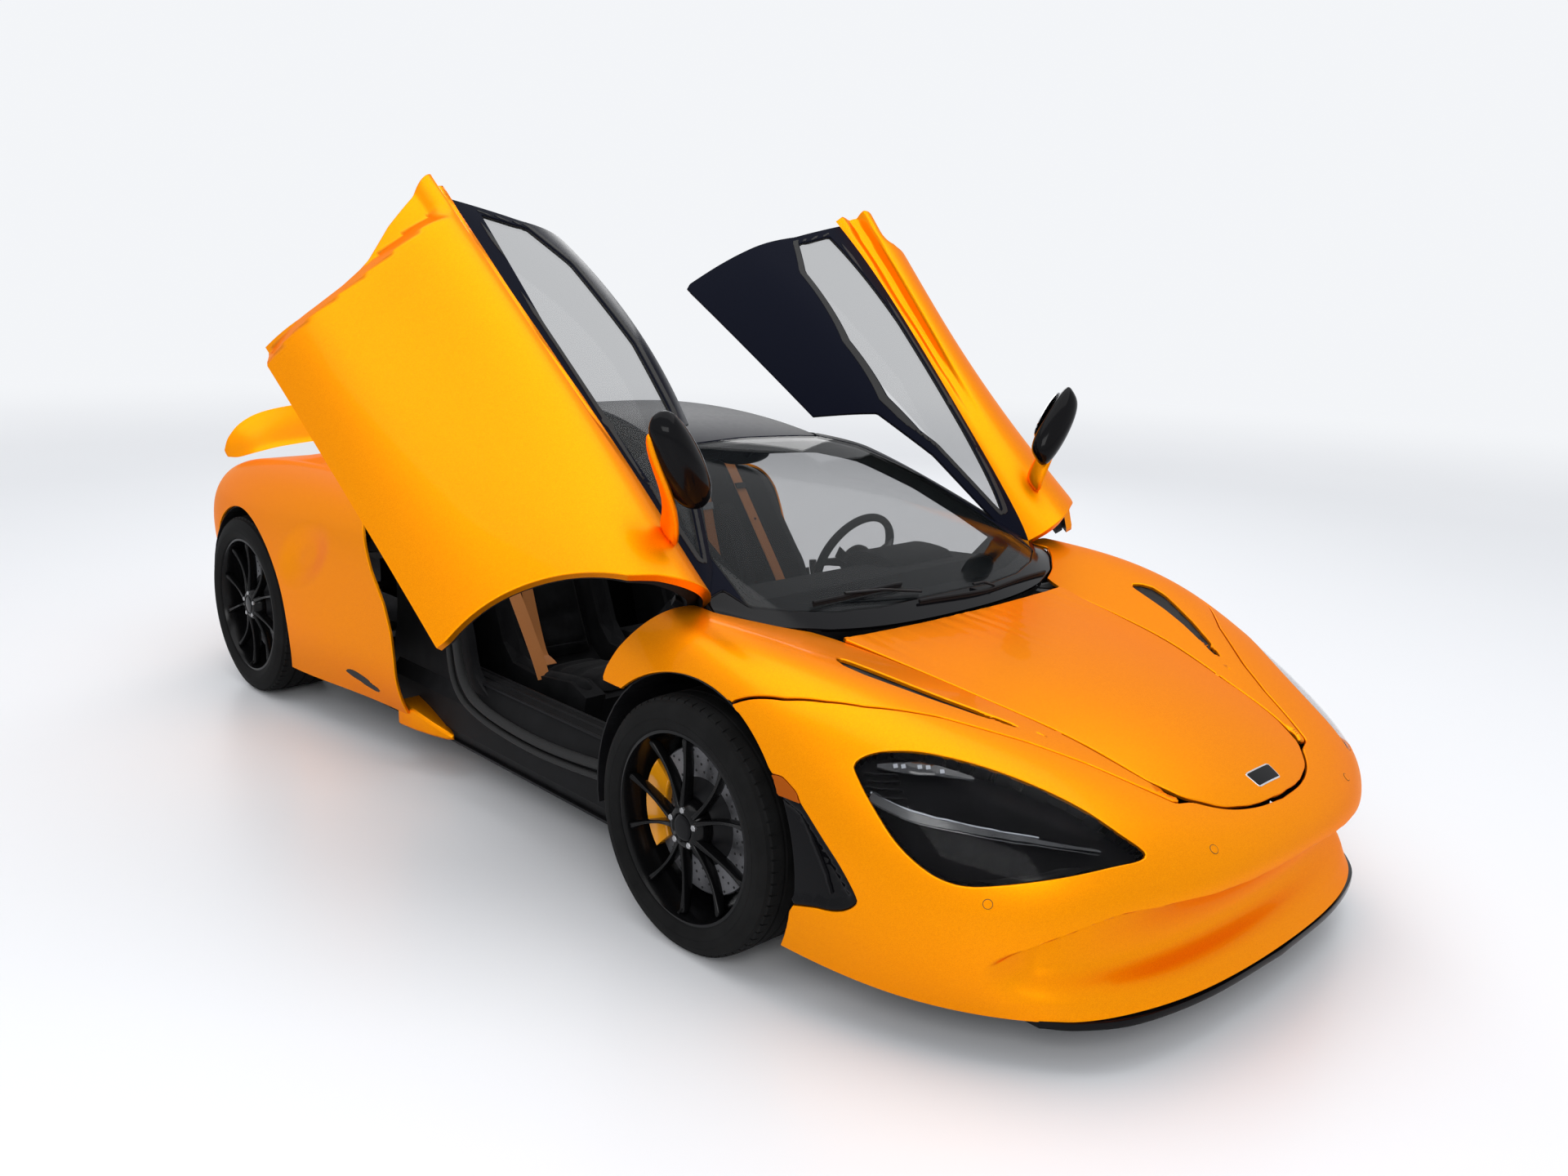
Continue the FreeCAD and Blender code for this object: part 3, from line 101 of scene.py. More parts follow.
# Body lines of the flank, from the middle of the nose round the left side to the middle of the tail.
# Each station runs from the upper edge down over the shoulder to the lower edge.
flankLines = [
    noseRow([(86, 0, 504), (48, 0, 486), (20, 0, 460), (3, 0, 428), (-4, 0, 392),
                  (28, 0, 330), (98, 0, 250), (92, 0, 185), (32, 0, 140)]),
    noseRow([(86, 86, 504), (48, 130, 486), (20, 190, 460), (3, 235, 428), (-4, 265, 392),
                  (28, 280, 330), (98, 288, 250), (92, 290, 185), (32, 290, 140)]),
    noseRow([(136, 216, 522), (100, 300, 506), (80, 385, 478), (72, 450, 440), (76, 500, 394),
                  (100, 540, 330), (150, 560, 250), (145, 560, 185), (96, 550, 138)]),
    noseRow([(246, 308, 571), (205, 420, 560), (185, 545, 530), (190, 655, 468), (205, 722, 392),
                  (218, 752, 305), (230, 750, 225), (228, 732, 165), (205, 705, 125)]),
    sideRow(fore(645), [(596, 651), (455, 668), (300, 662), (178, 592), (105, 490),
                             (66, 380), (60, 290), (68, 205), (92, 125)], (-15, -10)),
    sideRow(fore(325), [(534, 707), (385, 738), (245, 772), (125, 752), (48, 676),
                             (10, 556), (0, 415), (3, 282), (20, 160)]),
    sideRow(fore(0), [(482, 747), (330, 778), (205, 818), (98, 804), (26, 728),
                           (-4, 604), (-5, 440), (3, 290), (20, 165)]),
    sideRow(fore(-305), [(217, 818), (200, 826), (168, 822), (100, 796), (42, 722),
                              (12, 605), (3, 440), (7, 290), (30, 170)]),
    sideRow(fore(-705), [(197, 842), (176, 846), (134, 832), (88, 782), (60, 696),
                              (46, 580), (35, 440), (30, 290), (65, 180)]),
    sideRow(fore(-1155), [(180, 852), (146, 856), (104, 838), (68, 782), (58, 690),
                               (56, 580), (50, 440), (40, 290), (85, 185)]),
    sideRow(fore(-1555), [(175, 866), (134, 868), (80, 852), (40, 796), (34, 700),
                               (44, 580), (50, 440), (45, 290), (95, 190)]),
    sideRow(fore(-1955), [(215, 886), (160, 896), (93, 884), (30, 836), (10, 735),
                               (14, 600), (20, 440), (20, 290), (65, 180)]),
    sideRow(aft(365), [(275, 894), (204, 908), (118, 904), (38, 858), (-4, 765),
                            (-10, 630), (-7, 460), (0, 300), (25, 170)]),
    sideRow(aft(0), [(305, 884), (230, 900), (142, 896), (58, 856), (2, 775),
                          (-12, 650), (-10, 480), (0, 320), (20, 190)]),
    sideRow(aft(-385), [(325, 852), (252, 864), (168, 857), (94, 815), (40, 730),
                             (25, 610), (40, 480), (65, 350), (105, 240)], (30, 20, 10)),
    tailRow([(184, 560, 822), (158, 640, 824), (124, 715, 802), (104, 775, 752), (96, 810, 680),
                  (104, 815, 590), (118, 800, 480), (128, 770, 370), (148, 720, 280)]),
    tailRow([(150, 300, 818), (100, 320, 818), (56, 335, 796), (32, 345, 738), (32, 345, 680),
                  (56, 345, 590), (66, 345, 480), (46, 345, 370), (36, 345, 290)]),
    tailRow([(150, 0, 818), (100, 0, 818), (56, 0, 796), (32, 0, 738), (32, 0, 680),
                  (56, 0, 590), (66, 0, 480), (46, 0, 370), (36, 0, 290)]),
]

# Glasshouse and deck, from the foot of the windscreen to the tail, centre line to belt line.
canopyLines = [
    [(fore(60), 0, 740), (fore(60), 200, 740), (fore(35), 410, 748),
     (fore(-25), 575, 764), (fore(-95), 665, 782), (fore(-145), 712, 797)],
    [(fore(-60), 0, 806), (fore(-60), 215, 806), (fore(-90), 430, 810),
     (fore(-150), 610, 824), (fore(-205), 700, 822), (fore(-235), 732, 810)],
    [(fore(-270), 0, 906), (fore(-270), 225, 906), (fore(-300), 445, 910),
     (fore(-340), 625, 915), (fore(-330), 715, 868), (fore(-305), 748, 818)],
    [(fore(-580), 0, 1048), (fore(-580), 230, 1048), (fore(-610), 440, 1044),
     (fore(-640), 610, 1030), (fore(-680), 705, 945), (fore(-705), 768, 842)],
    [(fore(-925), 0, crown(38)), (fore(-925), 230, crown(38)), (fore(-945), 430, crown(46)),
     (fore(-985), 585, crown(78)), (fore(-1080), 690, 1010), (fore(-1155), 785, 852)],
    [(fore(-1305), 0, crown(-7)), (fore(-1305), 230, crown(-7)), (fore(-1320), 415, crown(8)),
     (fore(-1360), 560, crown(54)), (fore(-1460), 675, crown(190)), (fore(-1555), 790, 866)],
    [(fore(-1675), 0, crown(6)), (fore(-1675), 215, crown(6)), (fore(-1690), 375, crown(26)),
     (fore(-1740), 510, crown(82)), (fore(-1850), 625, 990), (fore(-1955), 750, 886)],
    [(aft(515), 0, 1100), (aft(515), 190, 1100), (aft(510), 320, 1082),
     (aft(490), 440, 1040), (aft(425), 560, 960), (aft(365), 690, 894)],
    [(aft(30), 0, 970), (aft(30), 170, 970), (aft(25), 290, 960),
     (aft(20), 400, 938), (aft(10), 520, 908), (aft(0), 660, 884)],
    [(aft(-385), 0, 876), (aft(-385), 160, 876), (aft(-385), 290, 872),
     (aft(-380), 400, 866), (aft(-370), 510, 858), (aft(-355), 640, 852)],
    tailRow([(150, 0, 818), (150, 160, 818), (152, 290, 818), (158, 380, 819), (168, 470, 820),
                  (184, 560, 822)]),
]

# Front lid, from the nose to the foot of the windscreen, centre line outward.
lidLines = [
    [(fore(1105), y, z) for y, z in ((0, 470), (130, 470), (280, 457), (400, 432), (520, 397))],
    [(fore(1025), y, z) for y, z in ((0, 529), (130, 529), (280, 513), (400, 489), (520, 456))],
    [(fore(905), y, z) for y, z in ((0, 588), (130, 588), (280, 578), (400, 565), (520, 545))],
    [(fore(725), y, z) for y, z in ((0, 650), (130, 650), (280, 643), (400, 634), (520, 634))],
    [(fore(485), y, z) for y, z in ((0, 700), (130, 700), (280, 693), (400, 687), (520, 690))],
    [(fore(245), y, z) for y, z in ((0, 730), (130, 730), (280, 725), (400, 721), (520, 726))],
    [(fore(25), y, z) for y, z in ((0, 748), (130, 748), (280, 746), (400, 746), (520, 752))],
]


# Smooth sheets through the body lines, cut along shut lines with rounded edges


def poleWeights(count, t):
    knots = np.concatenate([np.zeros(3), np.linspace(0, 1, count - 2), np.ones(3)])
    t = np.clip(t, 0, 1 - 1e-9)[:, None]
    weights = ((knots[:-1] <= t) & (t < knots[1:])).astype(float)
    for d in (1, 2, 3):
        left = knots[d:-1] - knots[:-d - 1]
        right = knots[d + 1:] - knots[1:-d]
        left = np.where(left > 0, left, np.inf)
        right = np.where(right > 0, right, np.inf)
        rising = weights[:, :-1] * (t - knots[:-d - 1]) / left
        weights = rising + weights[:, 1:] * (knots[d + 1:] - t) / right
    return weights


def unit(vectors):
    return vectors / np.maximum(np.linalg.norm(vectors, axis=-1, keepdims=True), 1e-12)


def sheetOf(lines, spansU, spansV, u=(0, 1), v=(0, 1)):
    a, b = np.meshgrid(np.linspace(*u, spansU + 1), np.linspace(*v, spansV + 1), indexing="ij")
    i = np.arange(a.size).reshape(a.shape)
    p, q, r, s = i[:-1, :-1].ravel(), i[1:, :-1].ravel(), i[1:, 1:].ravel(), i[:-1, 1:].ravel()
    tris = np.concatenate([np.stack([p, r, q], 1), np.stack([p, s, r], 1)])
    return {"grid": np.array(lines, float), "params": np.stack([a.ravel(), b.ravel()], 1), "tris": tris}


def onSheet(sheet, params):
    grid = sheet["grid"]

    def at(u, v):
        rows = np.einsum("pi,ijk->pjk", poleWeights(grid.shape[0], u), grid)
        return np.einsum("pj,pjk->pk", poleWeights(grid.shape[1], v), rows)
    u, v = params[:, 0], params[:, 1]
    e = 1e-4
    along = at(np.clip(u + e, 0, 1), v) - at(np.clip(u - e, 0, 1), v)
    across = at(u, np.clip(v + e, 0, 1)) - at(u, np.clip(v - e, 0, 1))
    points = at(u, v)
    normals = unit(-np.cross(along, across))
    middle = np.abs(points[:, 1]) < 1e-6
    points[middle, 1] = 0
    normals[middle, 1] = 0
    if "lift" in sheet:
        raised = sheet["lift"](points)
        slope = np.stack([sheet["lift"](points + axis) - raised for axis in np.eye(3)], 1)
        points = points + raised[:, None] * np.array([0, 0, 1])
        normals = unit(normals - slope * normals[:, 2:3])
    return points, unit(normals)


def slopeOf(field, points, normals):
    base = field(points)
    slope = np.stack([field(points + 0.5 * axis) - base for axis in np.eye(3)], 1) / 0.5
    return base, slope - normals * (slope * normals).sum(1)[:, None]


def splitAt(params, tris, values, level):
    d = values - level
    d = np.where(np.abs(d) < 1e-7, -1e-7, d)
    edges = np.sort(tris[:, [[0, 1], [1, 2], [2, 0]]].reshape(-1, 2), axis=1)
    edges, inverse = np.unique(edges, axis=0, return_inverse=True)
    a, b = edges[:, 0], edges[:, 1]
    crossed = d[a] * d[b] < 0
    t = d[a][crossed] / (d[a][crossed] - d[b][crossed])
    fresh = params[a[crossed]] + t[:, None] * (params[b[crossed]] - params[a[crossed]])
    number = np.full(len(edges), -1)
    number[crossed] = len(params) + np.arange(crossed.sum())
    onEdge = number[inverse.reshape(-1)].reshape(-1, 3)
    above = d[tris] > 0
    count = above.sum(1)
    out = [tris[(count == 0) | (count == 3)]]
    for k in range(3):
        alone = ((count == 1) & above[:, k]) | ((count == 2) & ~above[:, k])
        i, j, m = tris[alone, k], tris[alone, (k + 1) % 3], tris[alone, (k + 2) % 3]
        ij, mi = onEdge[alone, k], onEdge[alone, (k + 2) % 3]
        out += [np.stack([i, ij, mi], 1), np.stack([ij, j, m], 1), np.stack([ij, m, mi], 1)]
    return (np.concatenate([params, fresh]), np.concatenate(out),
            np.concatenate([values, np.full(len(fresh), float(level))]))


def compact(params, tris, values):
    used, inverse = np.unique(tris, return_inverse=True)
    return params[used], inverse.reshape(-1, 3), values[used]


def cutPanel(sheet, edge, thickness=10.0, rounding=4.0, near=0.0, relief=None, wall=8.0, symmetric=False):
    points, normals = onSheet(sheet, sheet["params"])
    value, slope = slopeOf(edge, points, normals)
    value = value / np.clip(np.linalg.norm(slope, axis=1), 0.3, None)
    tris = sheet["tris"][(value[sheet["tris"]] < 0).any(1)]
    params, tris, value = compact(sheet["params"], tris, value)
    for share in (0, 0.12, 0.4, 1):
        params, tris, value = splitAt(params, tris, value, -rounding * share)
    params, tris, value = compact(params, tris[value[tris].max(1) <= 1e-6], value)
    points, normals = onSheet(sheet, params)
    sink = np.zeros(len(points))
    facing = normals
    if relief:
        sink, slope = slopeOf(relief, points, normals)
        facing = unit(normals + slope)
    x = np.clip(value / rounding + 1, 0, 1)
    outward = unit(slopeOf(edge, points, normals)[1])
    drop = rounding * (1 - np.sqrt(1 - x * x))
    outer = points - normals * (near + sink + drop)[:, None]
    inner = points - normals * (near + np.maximum(thickness, sink + wall))[:, None]
    facing = unit(facing * np.sqrt(1 - x * x)[:, None] + outward * x[:, None])
    outward[np.linalg.norm(outward, axis=1) < 0.5] = [0, 0, -1]
    count = len(points)
    rim = rimOf(tris)
    if symmetric:
        rim = rim[~(np.abs(points[rim, 1]) < 1e-4).all(1)]
    a, b = rim[:, 0], rim[:, 1]
    quads = [np.stack([b, a, a + count], 1), np.stack([b, a + count, b + count], 1)]
    side = [outward[np.stack([b, a, a], 1)], outward[np.stack([b, a, b], 1)]]
    return {"points": np.concatenate([outer, inner]),
            "faces": np.concatenate([tris] + quads + [tris[:, ::-1] + count]),
            "normals": np.concatenate([facing[tris]] + side + [-normals[tris[:, ::-1]]]),
            "parts": np.repeat([0, 1, 2], [len(tris), 2 * len(a), len(tris)])}


def rimOf(tris):
    edges = tris[:, [[0, 1], [1, 2], [2, 0]]].reshape(-1, 2)
    keys = np.sort(edges, axis=1)
    _, first, counts = np.unique(keys, axis=0, return_index=True, return_counts=True)
    return edges[first[counts == 1]]


def mirrored(data):
    flip = np.array([1, -1, 1])
    return dict(data, points=data["points"] * flip, faces=data["faces"][:, ::-1],
                normals=data["normals"][:, ::-1] * flip)


def bothSides(data):
    other = mirrored(data)
    count = len(data["points"])
    middle = np.abs(data["points"][:, 1]) < 1e-4
    number = np.where(middle, np.arange(count), np.arange(count) + count)
    return {"points": np.concatenate([data["points"], other["points"]]),
            "faces": np.concatenate([data["faces"], number[other["faces"]]]),
            "normals": np.concatenate([data["normals"], other["normals"]]),
            "parts": np.concatenate([data["parts"], other["parts"]])}


def moved(data, turn, shift=(0, 0, 0)):
    turn = np.array(turn)
    return dict(data, points=data["points"] @ turn.T + np.array(shift), normals=data["normals"] @ turn.T)


# Regions: negative inside, measured in millimetres


def outlineField(outline, first, second):
    flat = np.stack([np.array(outline, float) @ np.array(first, float),
                     np.array(outline, float) @ np.array(second, float)], 1)
    after = np.roll(flat, -1, axis=0)
    run = after - flat
    length = (run ** 2).sum(1)

    def field(points):
        p = np.stack([points @ np.array(first, float), points @ np.array(second, float)], 1)
        best = np.full(len(p), 1e12)
        inside = np.zeros(len(p), bool)
        for start, end, e, size in zip(flat, after, run, length):
            w = p - start
            t = np.clip((w @ e) / max(size, 1e-9), 0, 1)
            best = np.minimum(best, ((w - t[:, None] * e) ** 2).sum(1))
            crosses = (start[1] > p[:, 1]) != (end[1] > p[:, 1])
            if e[1] != 0:
                inside ^= crosses & (p[:, 0] < start[0] + (p[:, 1] - start[1]) * e[0] / e[1])
        return np.sqrt(best) * np.where(inside, -1, 1)
    return field


def inPlan(outline):
    return outlineField([(x, y, 0) for x, y in outline], (1, 0, 0), (0, 1, 0))


def inSide(outline):
    return outlineField([(x, 0, z) for x, z in outline], (1, 0, 0), (0, 0, 1))


def inSection(outline):
    return outlineField([(0, y, z) for y, z in outline], (0, 1, 0), (0, 0, 1))


def inView(outline, direction):
    away = unit(np.array(direction, float))
    first = unit(np.cross(away, [0, 0, 1]))
    return outlineField(outline, first, np.cross(first, away))


def inWheel(x, z, radius):
    return lambda points: np.hypot(points[:, 0] - x, points[:, 2] - z) - radius


def behind(x):
    return lambda points: points[:, 0] - x


def ahead(x):
    return lambda points: x - points[:, 0]


def within(*fields):
    return lambda points: np.max([field(points) for field in fields], axis=0)


def outOf(field, gap=0.0):
    return lambda points: gap - field(points)


def inset(field, gap):
    return lambda points: field(points) + gap


def curved(points, steps=6):
    # a smooth line through the points
    p = np.array(points, float)
    p = np.concatenate([[2 * p[0] - p[1]], p, [2 * p[-1] - p[-2]]])
    line = []
    for k in range(1, len(p) - 2):
        for t in np.arange(steps) / steps:
            a, b, c, d = p[k - 1], p[k], p[k + 1], p[k + 2]
            line.append(0.5 * (2 * b + (c - a) * t + (2 * a - 5 * b + 4 * c - d) * t ** 2
                               + (3 * b - a - 3 * c + d) * t ** 3))
    return [tuple(q) for q in line] + [tuple(p[-2])]


def curvedLoop(points, steps=6):
    p = np.array(points, float)
    closed = np.concatenate([p[-2:], p, p[:3]])
    line = curved(closed, steps)
    return line[2 * steps:(len(p) + 2) * steps]


def smoothStep(x, low, high):
    t = np.clip((x - low) / (high - low), 0, 1)
    return t * t * (3 - 2 * t)


def evened(values):
    # each value averaged with the two on either side of it
    return np.convolve(np.pad(values, 2, "edge"), np.ones(5) / 5, "valid")


def turns(count):
    # evenly spaced angles of one full turn
    return np.linspace(0, 2 * math.pi, count, endpoint=False)


# Pieces made from rings of points


def ringFaces(rows, columns, closedRows=False):
    i = np.arange(rows * columns).reshape(rows, columns)
    j = np.roll(i, -1, axis=1)
    a, b = (i, np.roll(i, -1, axis=0)) if closedRows else (i[:-1], i[1:])
    c, d = (j, np.roll(j, -1, axis=0)) if closedRows else (j[:-1], j[1:])
    return [tuple(f) for f in np.stack([a.ravel(), c.ravel(), d.ravel(), b.ravel()], 1).tolist()]


def loft(rings, caps=True):
    rings = np.array(rings, float)
    faces = ringFaces(*rings.shape[:2])
    if caps:
        n = rings.shape[1]
        faces += [tuple(range(n))[::-1], tuple(range((len(rings) - 1) * n, len(rings) * n))]
    return rings.reshape(-1, 3), faces


def spin(profile, centre, outward, sides, closed=True):
    # a profile of (distance outward, radius) points turned about an axle across the car
    angles = turns(sides)
    profile = np.array(profile, float)
    points = [[(centre[0] + r * math.sin(t), centre[1] + outward * y, centre[2] - r * math.cos(t))
               for y, r in profile] for t in angles]
    faces = ringFaces(sides, len(profile), True)
    if not closed:
        n = len(profile)
        faces = [f for f in faces if not {f[0] % n, f[1] % n} == {0, n - 1}]
    return np.array(points).reshape(-1, 3), faces


def tube(points, radius, sides=10, flat=1.0, up=(0, 0, 1)):
    p = np.array(points, float)
    along = unit(np.gradient(p, axis=0))
    side = unit(np.cross(along, np.array(up, float)))
    rise = np.cross(side, along)
    radius = np.broadcast_to(np.array(radius, float), len(p))
    rings = []
    for q, s, u, r in zip(p, side, rise, radius):
        rings.append([q + r * (math.cos(t) * s + flat * math.sin(t) * u)
                      for t in turns(sides)])
    return loft(rings)


def block(x, y, z):
    corners = [(a, b, c) for a in x for b in y for c in z]
    faces = [(0, 1, 3, 2), (4, 6, 7, 5), (0, 4, 5, 1), (2, 3, 7, 6), (0, 2, 6, 4), (1, 5, 7, 3)]
    return np.array(corners, float), faces


def extruded(outline, low, high, axis=1):
    # an outline of two numbers pushed straight along the third axis
    rings = [[tuple(np.insert(np.array(p, float), axis, level)) for p in outline] for level in (low, high)]
    return loft(rings)


def together(parts):
    points, faces, start = [], [], 0
    for p, f in parts:
        points.append(np.array(p, float))
        faces += [tuple(i + start for i in face) for face in f]
        start += len(p)
    return np.concatenate(points), faces


def flipped(part):
    points, faces = part
    return np.array(points) * [1, -1, 1], [tuple(reversed(f)) for f in faces]


def pairOf(part):
    return together([part, flipped(part)])


def turnAbout(axis, degrees):
    return np.array(Matrix.Rotation(math.radians(degrees), 3, Vector(axis)))


# Blender objects


def dress(obj, body, replaces=()):
    if not obj.users_collection:
        bpy.context.scene.collection.objects.link(obj)
    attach(obj, body)
    if replaces:
        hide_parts(*replaces)
    return obj


def panelObject(name, data, materials, body="root", replaces=()):
    mesh = bpy.data.meshes.new(name)
    faces = data["faces"]
    mesh.vertices.add(len(data["points"]))
    mesh.vertices.foreach_set("co", (data["points"] * mm).astype(np.float32).ravel())
    mesh.loops.add(faces.size)
    mesh.loops.foreach_set("vertex_index", faces.astype(np.int32).ravel())
    mesh.polygons.add(len(faces))
    mesh.polygons.foreach_set("loop_start", np.arange(0, faces.size, 3, dtype=np.int32))
    for material in materials:
        mesh.materials.append(material)
    last = len(materials) - 1
    mesh.polygons.foreach_set("material_index", np.minimum(data["parts"], last).astype(np.int32))
    mesh.update(calc_edges=True)
    mesh.shade_smooth()
    mesh.normals_split_custom_set(data["normals"].reshape(-1, 3).tolist())
    return dress(bpy.data.objects.new(name, mesh), body, replaces)


def solidObject(name, part, material, body="root", slot=None, replaces=(), bevel=0.0, angle=35,
                levels=0, weld=0.0, segments=2):
    points, faces = part
    mesh = bpy.data.meshes.new(name)
    mesh.from_pydata((np.array(points) * mm).tolist(), [], faces)
    shape = bmesh.new()
    shape.from_mesh(mesh)
    bmesh.ops.remove_doubles(shape, verts=shape.verts, dist=max(weld, 0.01) * mm)
    bmesh.ops.recalc_face_normals(shape, faces=shape.faces)
    shape.to_mesh(mesh)
    shape.free()
    obj = bpy.data.objects.new(name, mesh)
    bpy.context.scene.collection.objects.link(obj)
    if bevel:
        edge = obj.modifiers.new("edges", "BEVEL")
        edge.width = bevel * mm
        edge.segments = segments
        edge.limit_method = "ANGLE"
        edge.angle_limit = math.radians(28)
        edge.harden_normals = False
    if levels:
        smooth = obj.modifiers.new("smooth", "SUBSURF")
        smooth.levels = smooth.render_levels = levels
    if bevel or levels:
        obj = settled(obj)
    obj.data.materials.clear()
    obj.data.materials.append(material)
    obj.data.shade_smooth()
    obj.data.set_sharp_from_angle(angle=math.radians(angle))
    return dress(obj, body, replaces)


def settled(obj):
    # the object with its modifiers turned into plain mesh
    graph = bpy.context.evaluated_depsgraph_get()
    mesh = bpy.data.meshes.new_from_object(obj.evaluated_get(graph))
    old = obj.data
    obj.modifiers.clear()
    obj.data = mesh
    bpy.data.meshes.remove(old)
    mesh.name = obj.name
    return obj


# Materials


def makeMaterial(name, colour, **sockets):
    material = bpy.data.materials.new(name)
    material.use_nodes = True
    shader = material.node_tree.nodes["Principled BSDF"]
    shader.inputs["Base Color"].default_value = (*colour, 1)
    for key, value in sockets.items():
        shader.inputs[key.replace("_", " ")].default_value = value
    return material


def textureNode(material, kind, scale, stretch=(1, 1, 1), **settings):
    tree = material.node_tree
    place = tree.nodes.new("ShaderNodeTexCoord")
    mapping = tree.nodes.new("ShaderNodeMapping")
    mapping.inputs["Scale"].default_value = stretch
    texture = tree.nodes.new(kind)
    texture.inputs["Scale"].default_value = scale
    for key, value in settings.items():
        texture.inputs[key].default_value = value
    tree.links.new(place.outputs["Object"], mapping.inputs["Vector"])
    tree.links.new(mapping.outputs["Vector"], texture.inputs["Vector"])
    return texture


def rampNode(material, source, stops):
    tree = material.node_tree
    ramp = tree.nodes.new("ShaderNodeValToRGB")
    elements = ramp.color_ramp.elements
    while len(elements) < len(stops):
        elements.new(0.5)
    for element, (place, colour) in zip(elements, stops):
        element.position = place
        element.color = (*colour, 1) if len(colour) == 3 else (*colour * 3, 1)
    tree.links.new(source, ramp.inputs["Fac"])
    return ramp


def colourBy(material, texture, output, stops):
    ramp = rampNode(material, texture.outputs[output], stops)
    shader = material.node_tree.nodes["Principled BSDF"]
    material.node_tree.links.new(ramp.outputs["Color"], shader.inputs["Base Color"])


def roughnessBy(material, texture, output, low, high):
    ramp = rampNode(material, texture.outputs[output], [(0.3, (low,)), (0.7, (high,))])
    shader = material.node_tree.nodes["Principled BSDF"]
    material.node_tree.links.new(ramp.outputs["Color"], shader.inputs["Roughness"])


def bumpBy(material, texture, output, strength, depth):
    tree = material.node_tree
    bump = tree.nodes.new("ShaderNodeBump")
    bump.inputs["Strength"].default_value = strength
    bump.inputs["Distance"].default_value = depth * mm
    tree.links.new(texture.outputs[output], bump.inputs["Height"])
    tree.links.new(bump.outputs["Normal"], tree.nodes["Principled BSDF"].inputs["Normal"])


paintLook = {"colour": (0.95, 0.295, 0.0), "deep": (0.84, 0.232, 0.0), "bright": (1.0, 0.35, 0.001)}


def makePaint(name, look):
    paint = makeMaterial(name, look["colour"], Roughness=0.4, Metallic=0.85, Coat_Weight=0.07,
                         Coat_Roughness=0.03, Specular_Tint=(1, 0.46, 0.03, 1))
    flake = textureNode(paint, "ShaderNodeTexVoronoi", 1400)
    colourBy(paint, flake, "Color", [(0.15, look["deep"]), (0.5, look["colour"]), (0.85, look["bright"])])
    cloud = textureNode(paint, "ShaderNodeTexNoise", 900, Detail=2.0)
    roughnessBy(paint, cloud, "Fac", 0.33, 0.43)
    return paint


def makeGloss(name, colour, roughness=0.07, spread=0.03, coat=0.4, **sockets):
    gloss = makeMaterial(name, colour, Coat_Weight=coat, Coat_Roughness=0.03, **sockets)
    cloud = textureNode(gloss, "ShaderNodeTexNoise", 60, Detail=4.0)
    roughnessBy(gloss, cloud, "Fac", roughness, roughness + spread)
    return gloss


def makeSatin(name, colour, lighter, roughness, grain=700, bump=0.25, **sockets):
    satin = makeMaterial(name, colour, **sockets)
    cloud = textureNode(satin, "ShaderNodeTexNoise", 14, Detail=6.0)
    colourBy(satin, cloud, "Fac", [(0.35, colour), (0.7, lighter)])
    roughnessBy(satin, cloud, "Fac", roughness, roughness + 0.12)
    pores = textureNode(satin, "ShaderNodeTexVoronoi", grain)
    bumpBy(satin, pores, "Distance", bump, 0.3)
    return satin


def makeWeave(name, colour, lighter, pitch, roughness, bump=0.5, **sockets):
    weave = makeMaterial(name, colour, Roughness=roughness, **sockets)
    threads = textureNode(weave, "ShaderNodeTexWave", pitch, (1, 1, 1), Distortion=1.5, Detail=1.0)
    colourBy(weave, threads, "Fac", [(0.2, colour), (0.8, lighter)])
    bumpBy(weave, threads, "Fac", bump, 0.25)
    return weave


def makeMetal(name, colour, roughness, scale=90, stretch=(1, 1, 1), **sockets):
    metal = makeMaterial(name, colour, Metallic=1.0, **sockets)
    cloud = textureNode(metal, "ShaderNodeTexNoise", scale, stretch, Detail=8.0)
    roughnessBy(metal, cloud, "Fac", roughness, roughness + 0.18)
    darker = tuple(c * 0.75 for c in colour)
    colourBy(metal, cloud, "Fac", [(0.3, darker), (0.7, colour)])
    bumpBy(metal, cloud, "Fac", 0.15, 0.2)
    return metal


def makeGlass(name, colour, clear, cloudy):
    glass = makeMaterial(name, colour, Roughness=0.02, IOR=1.45)
    tree = glass.node_tree
    edge = tree.nodes.new("ShaderNodeLayerWeight")
    edge.inputs["Blend"].default_value = 0.35
    ramp = rampNode(glass, edge.outputs["Fresnel"], [(0.0, (clear,)), (0.9, (cloudy,))])
    tree.links.new(ramp.outputs["Color"], tree.nodes["Principled BSDF"].inputs["Alpha"])
    return glass


paint = makePaint("orangePaint", paintLook)
blackGloss = makeGloss("pianoBlack", (0.003, 0.003, 0.0038), 0.1, coat=0.0, Specular_IOR_Level=0.1)
roofBlack = makeGloss("roofGlassBlack", (0.005, 0.006, 0.012), 0.3, coat=0.0, Specular_IOR_Level=0.015)
wheelBlack = makeGloss("wheelBlack", (0.003, 0.003, 0.0033), 0.16, 0.06, coat=0.0, Specular_IOR_Level=0.16)
satinBlack = makeSatin("satinBlack", (0.006, 0.006, 0.007), (0.011, 0.011, 0.012), 0.42, bump=0.1,
                       Specular_IOR_Level=0.12)
lampBlack = makeSatin("lampSocket", (0.0025, 0.0025, 0.003), (0.005, 0.005, 0.006), 0.3, bump=0.05,
                      Specular_IOR_Level=0.03)
trimBlack = makeSatin("grainedTrim", (0.007, 0.007, 0.0075), (0.013, 0.013, 0.014), 0.6, grain=520,
                      Specular_IOR_Level=0.1)
rubber = makeSatin("tyreRubber", (0.0055, 0.0055, 0.0055), (0.010, 0.010, 0.010), 0.68, grain=260, bump=0.15,
                   Specular_IOR_Level=0.08)
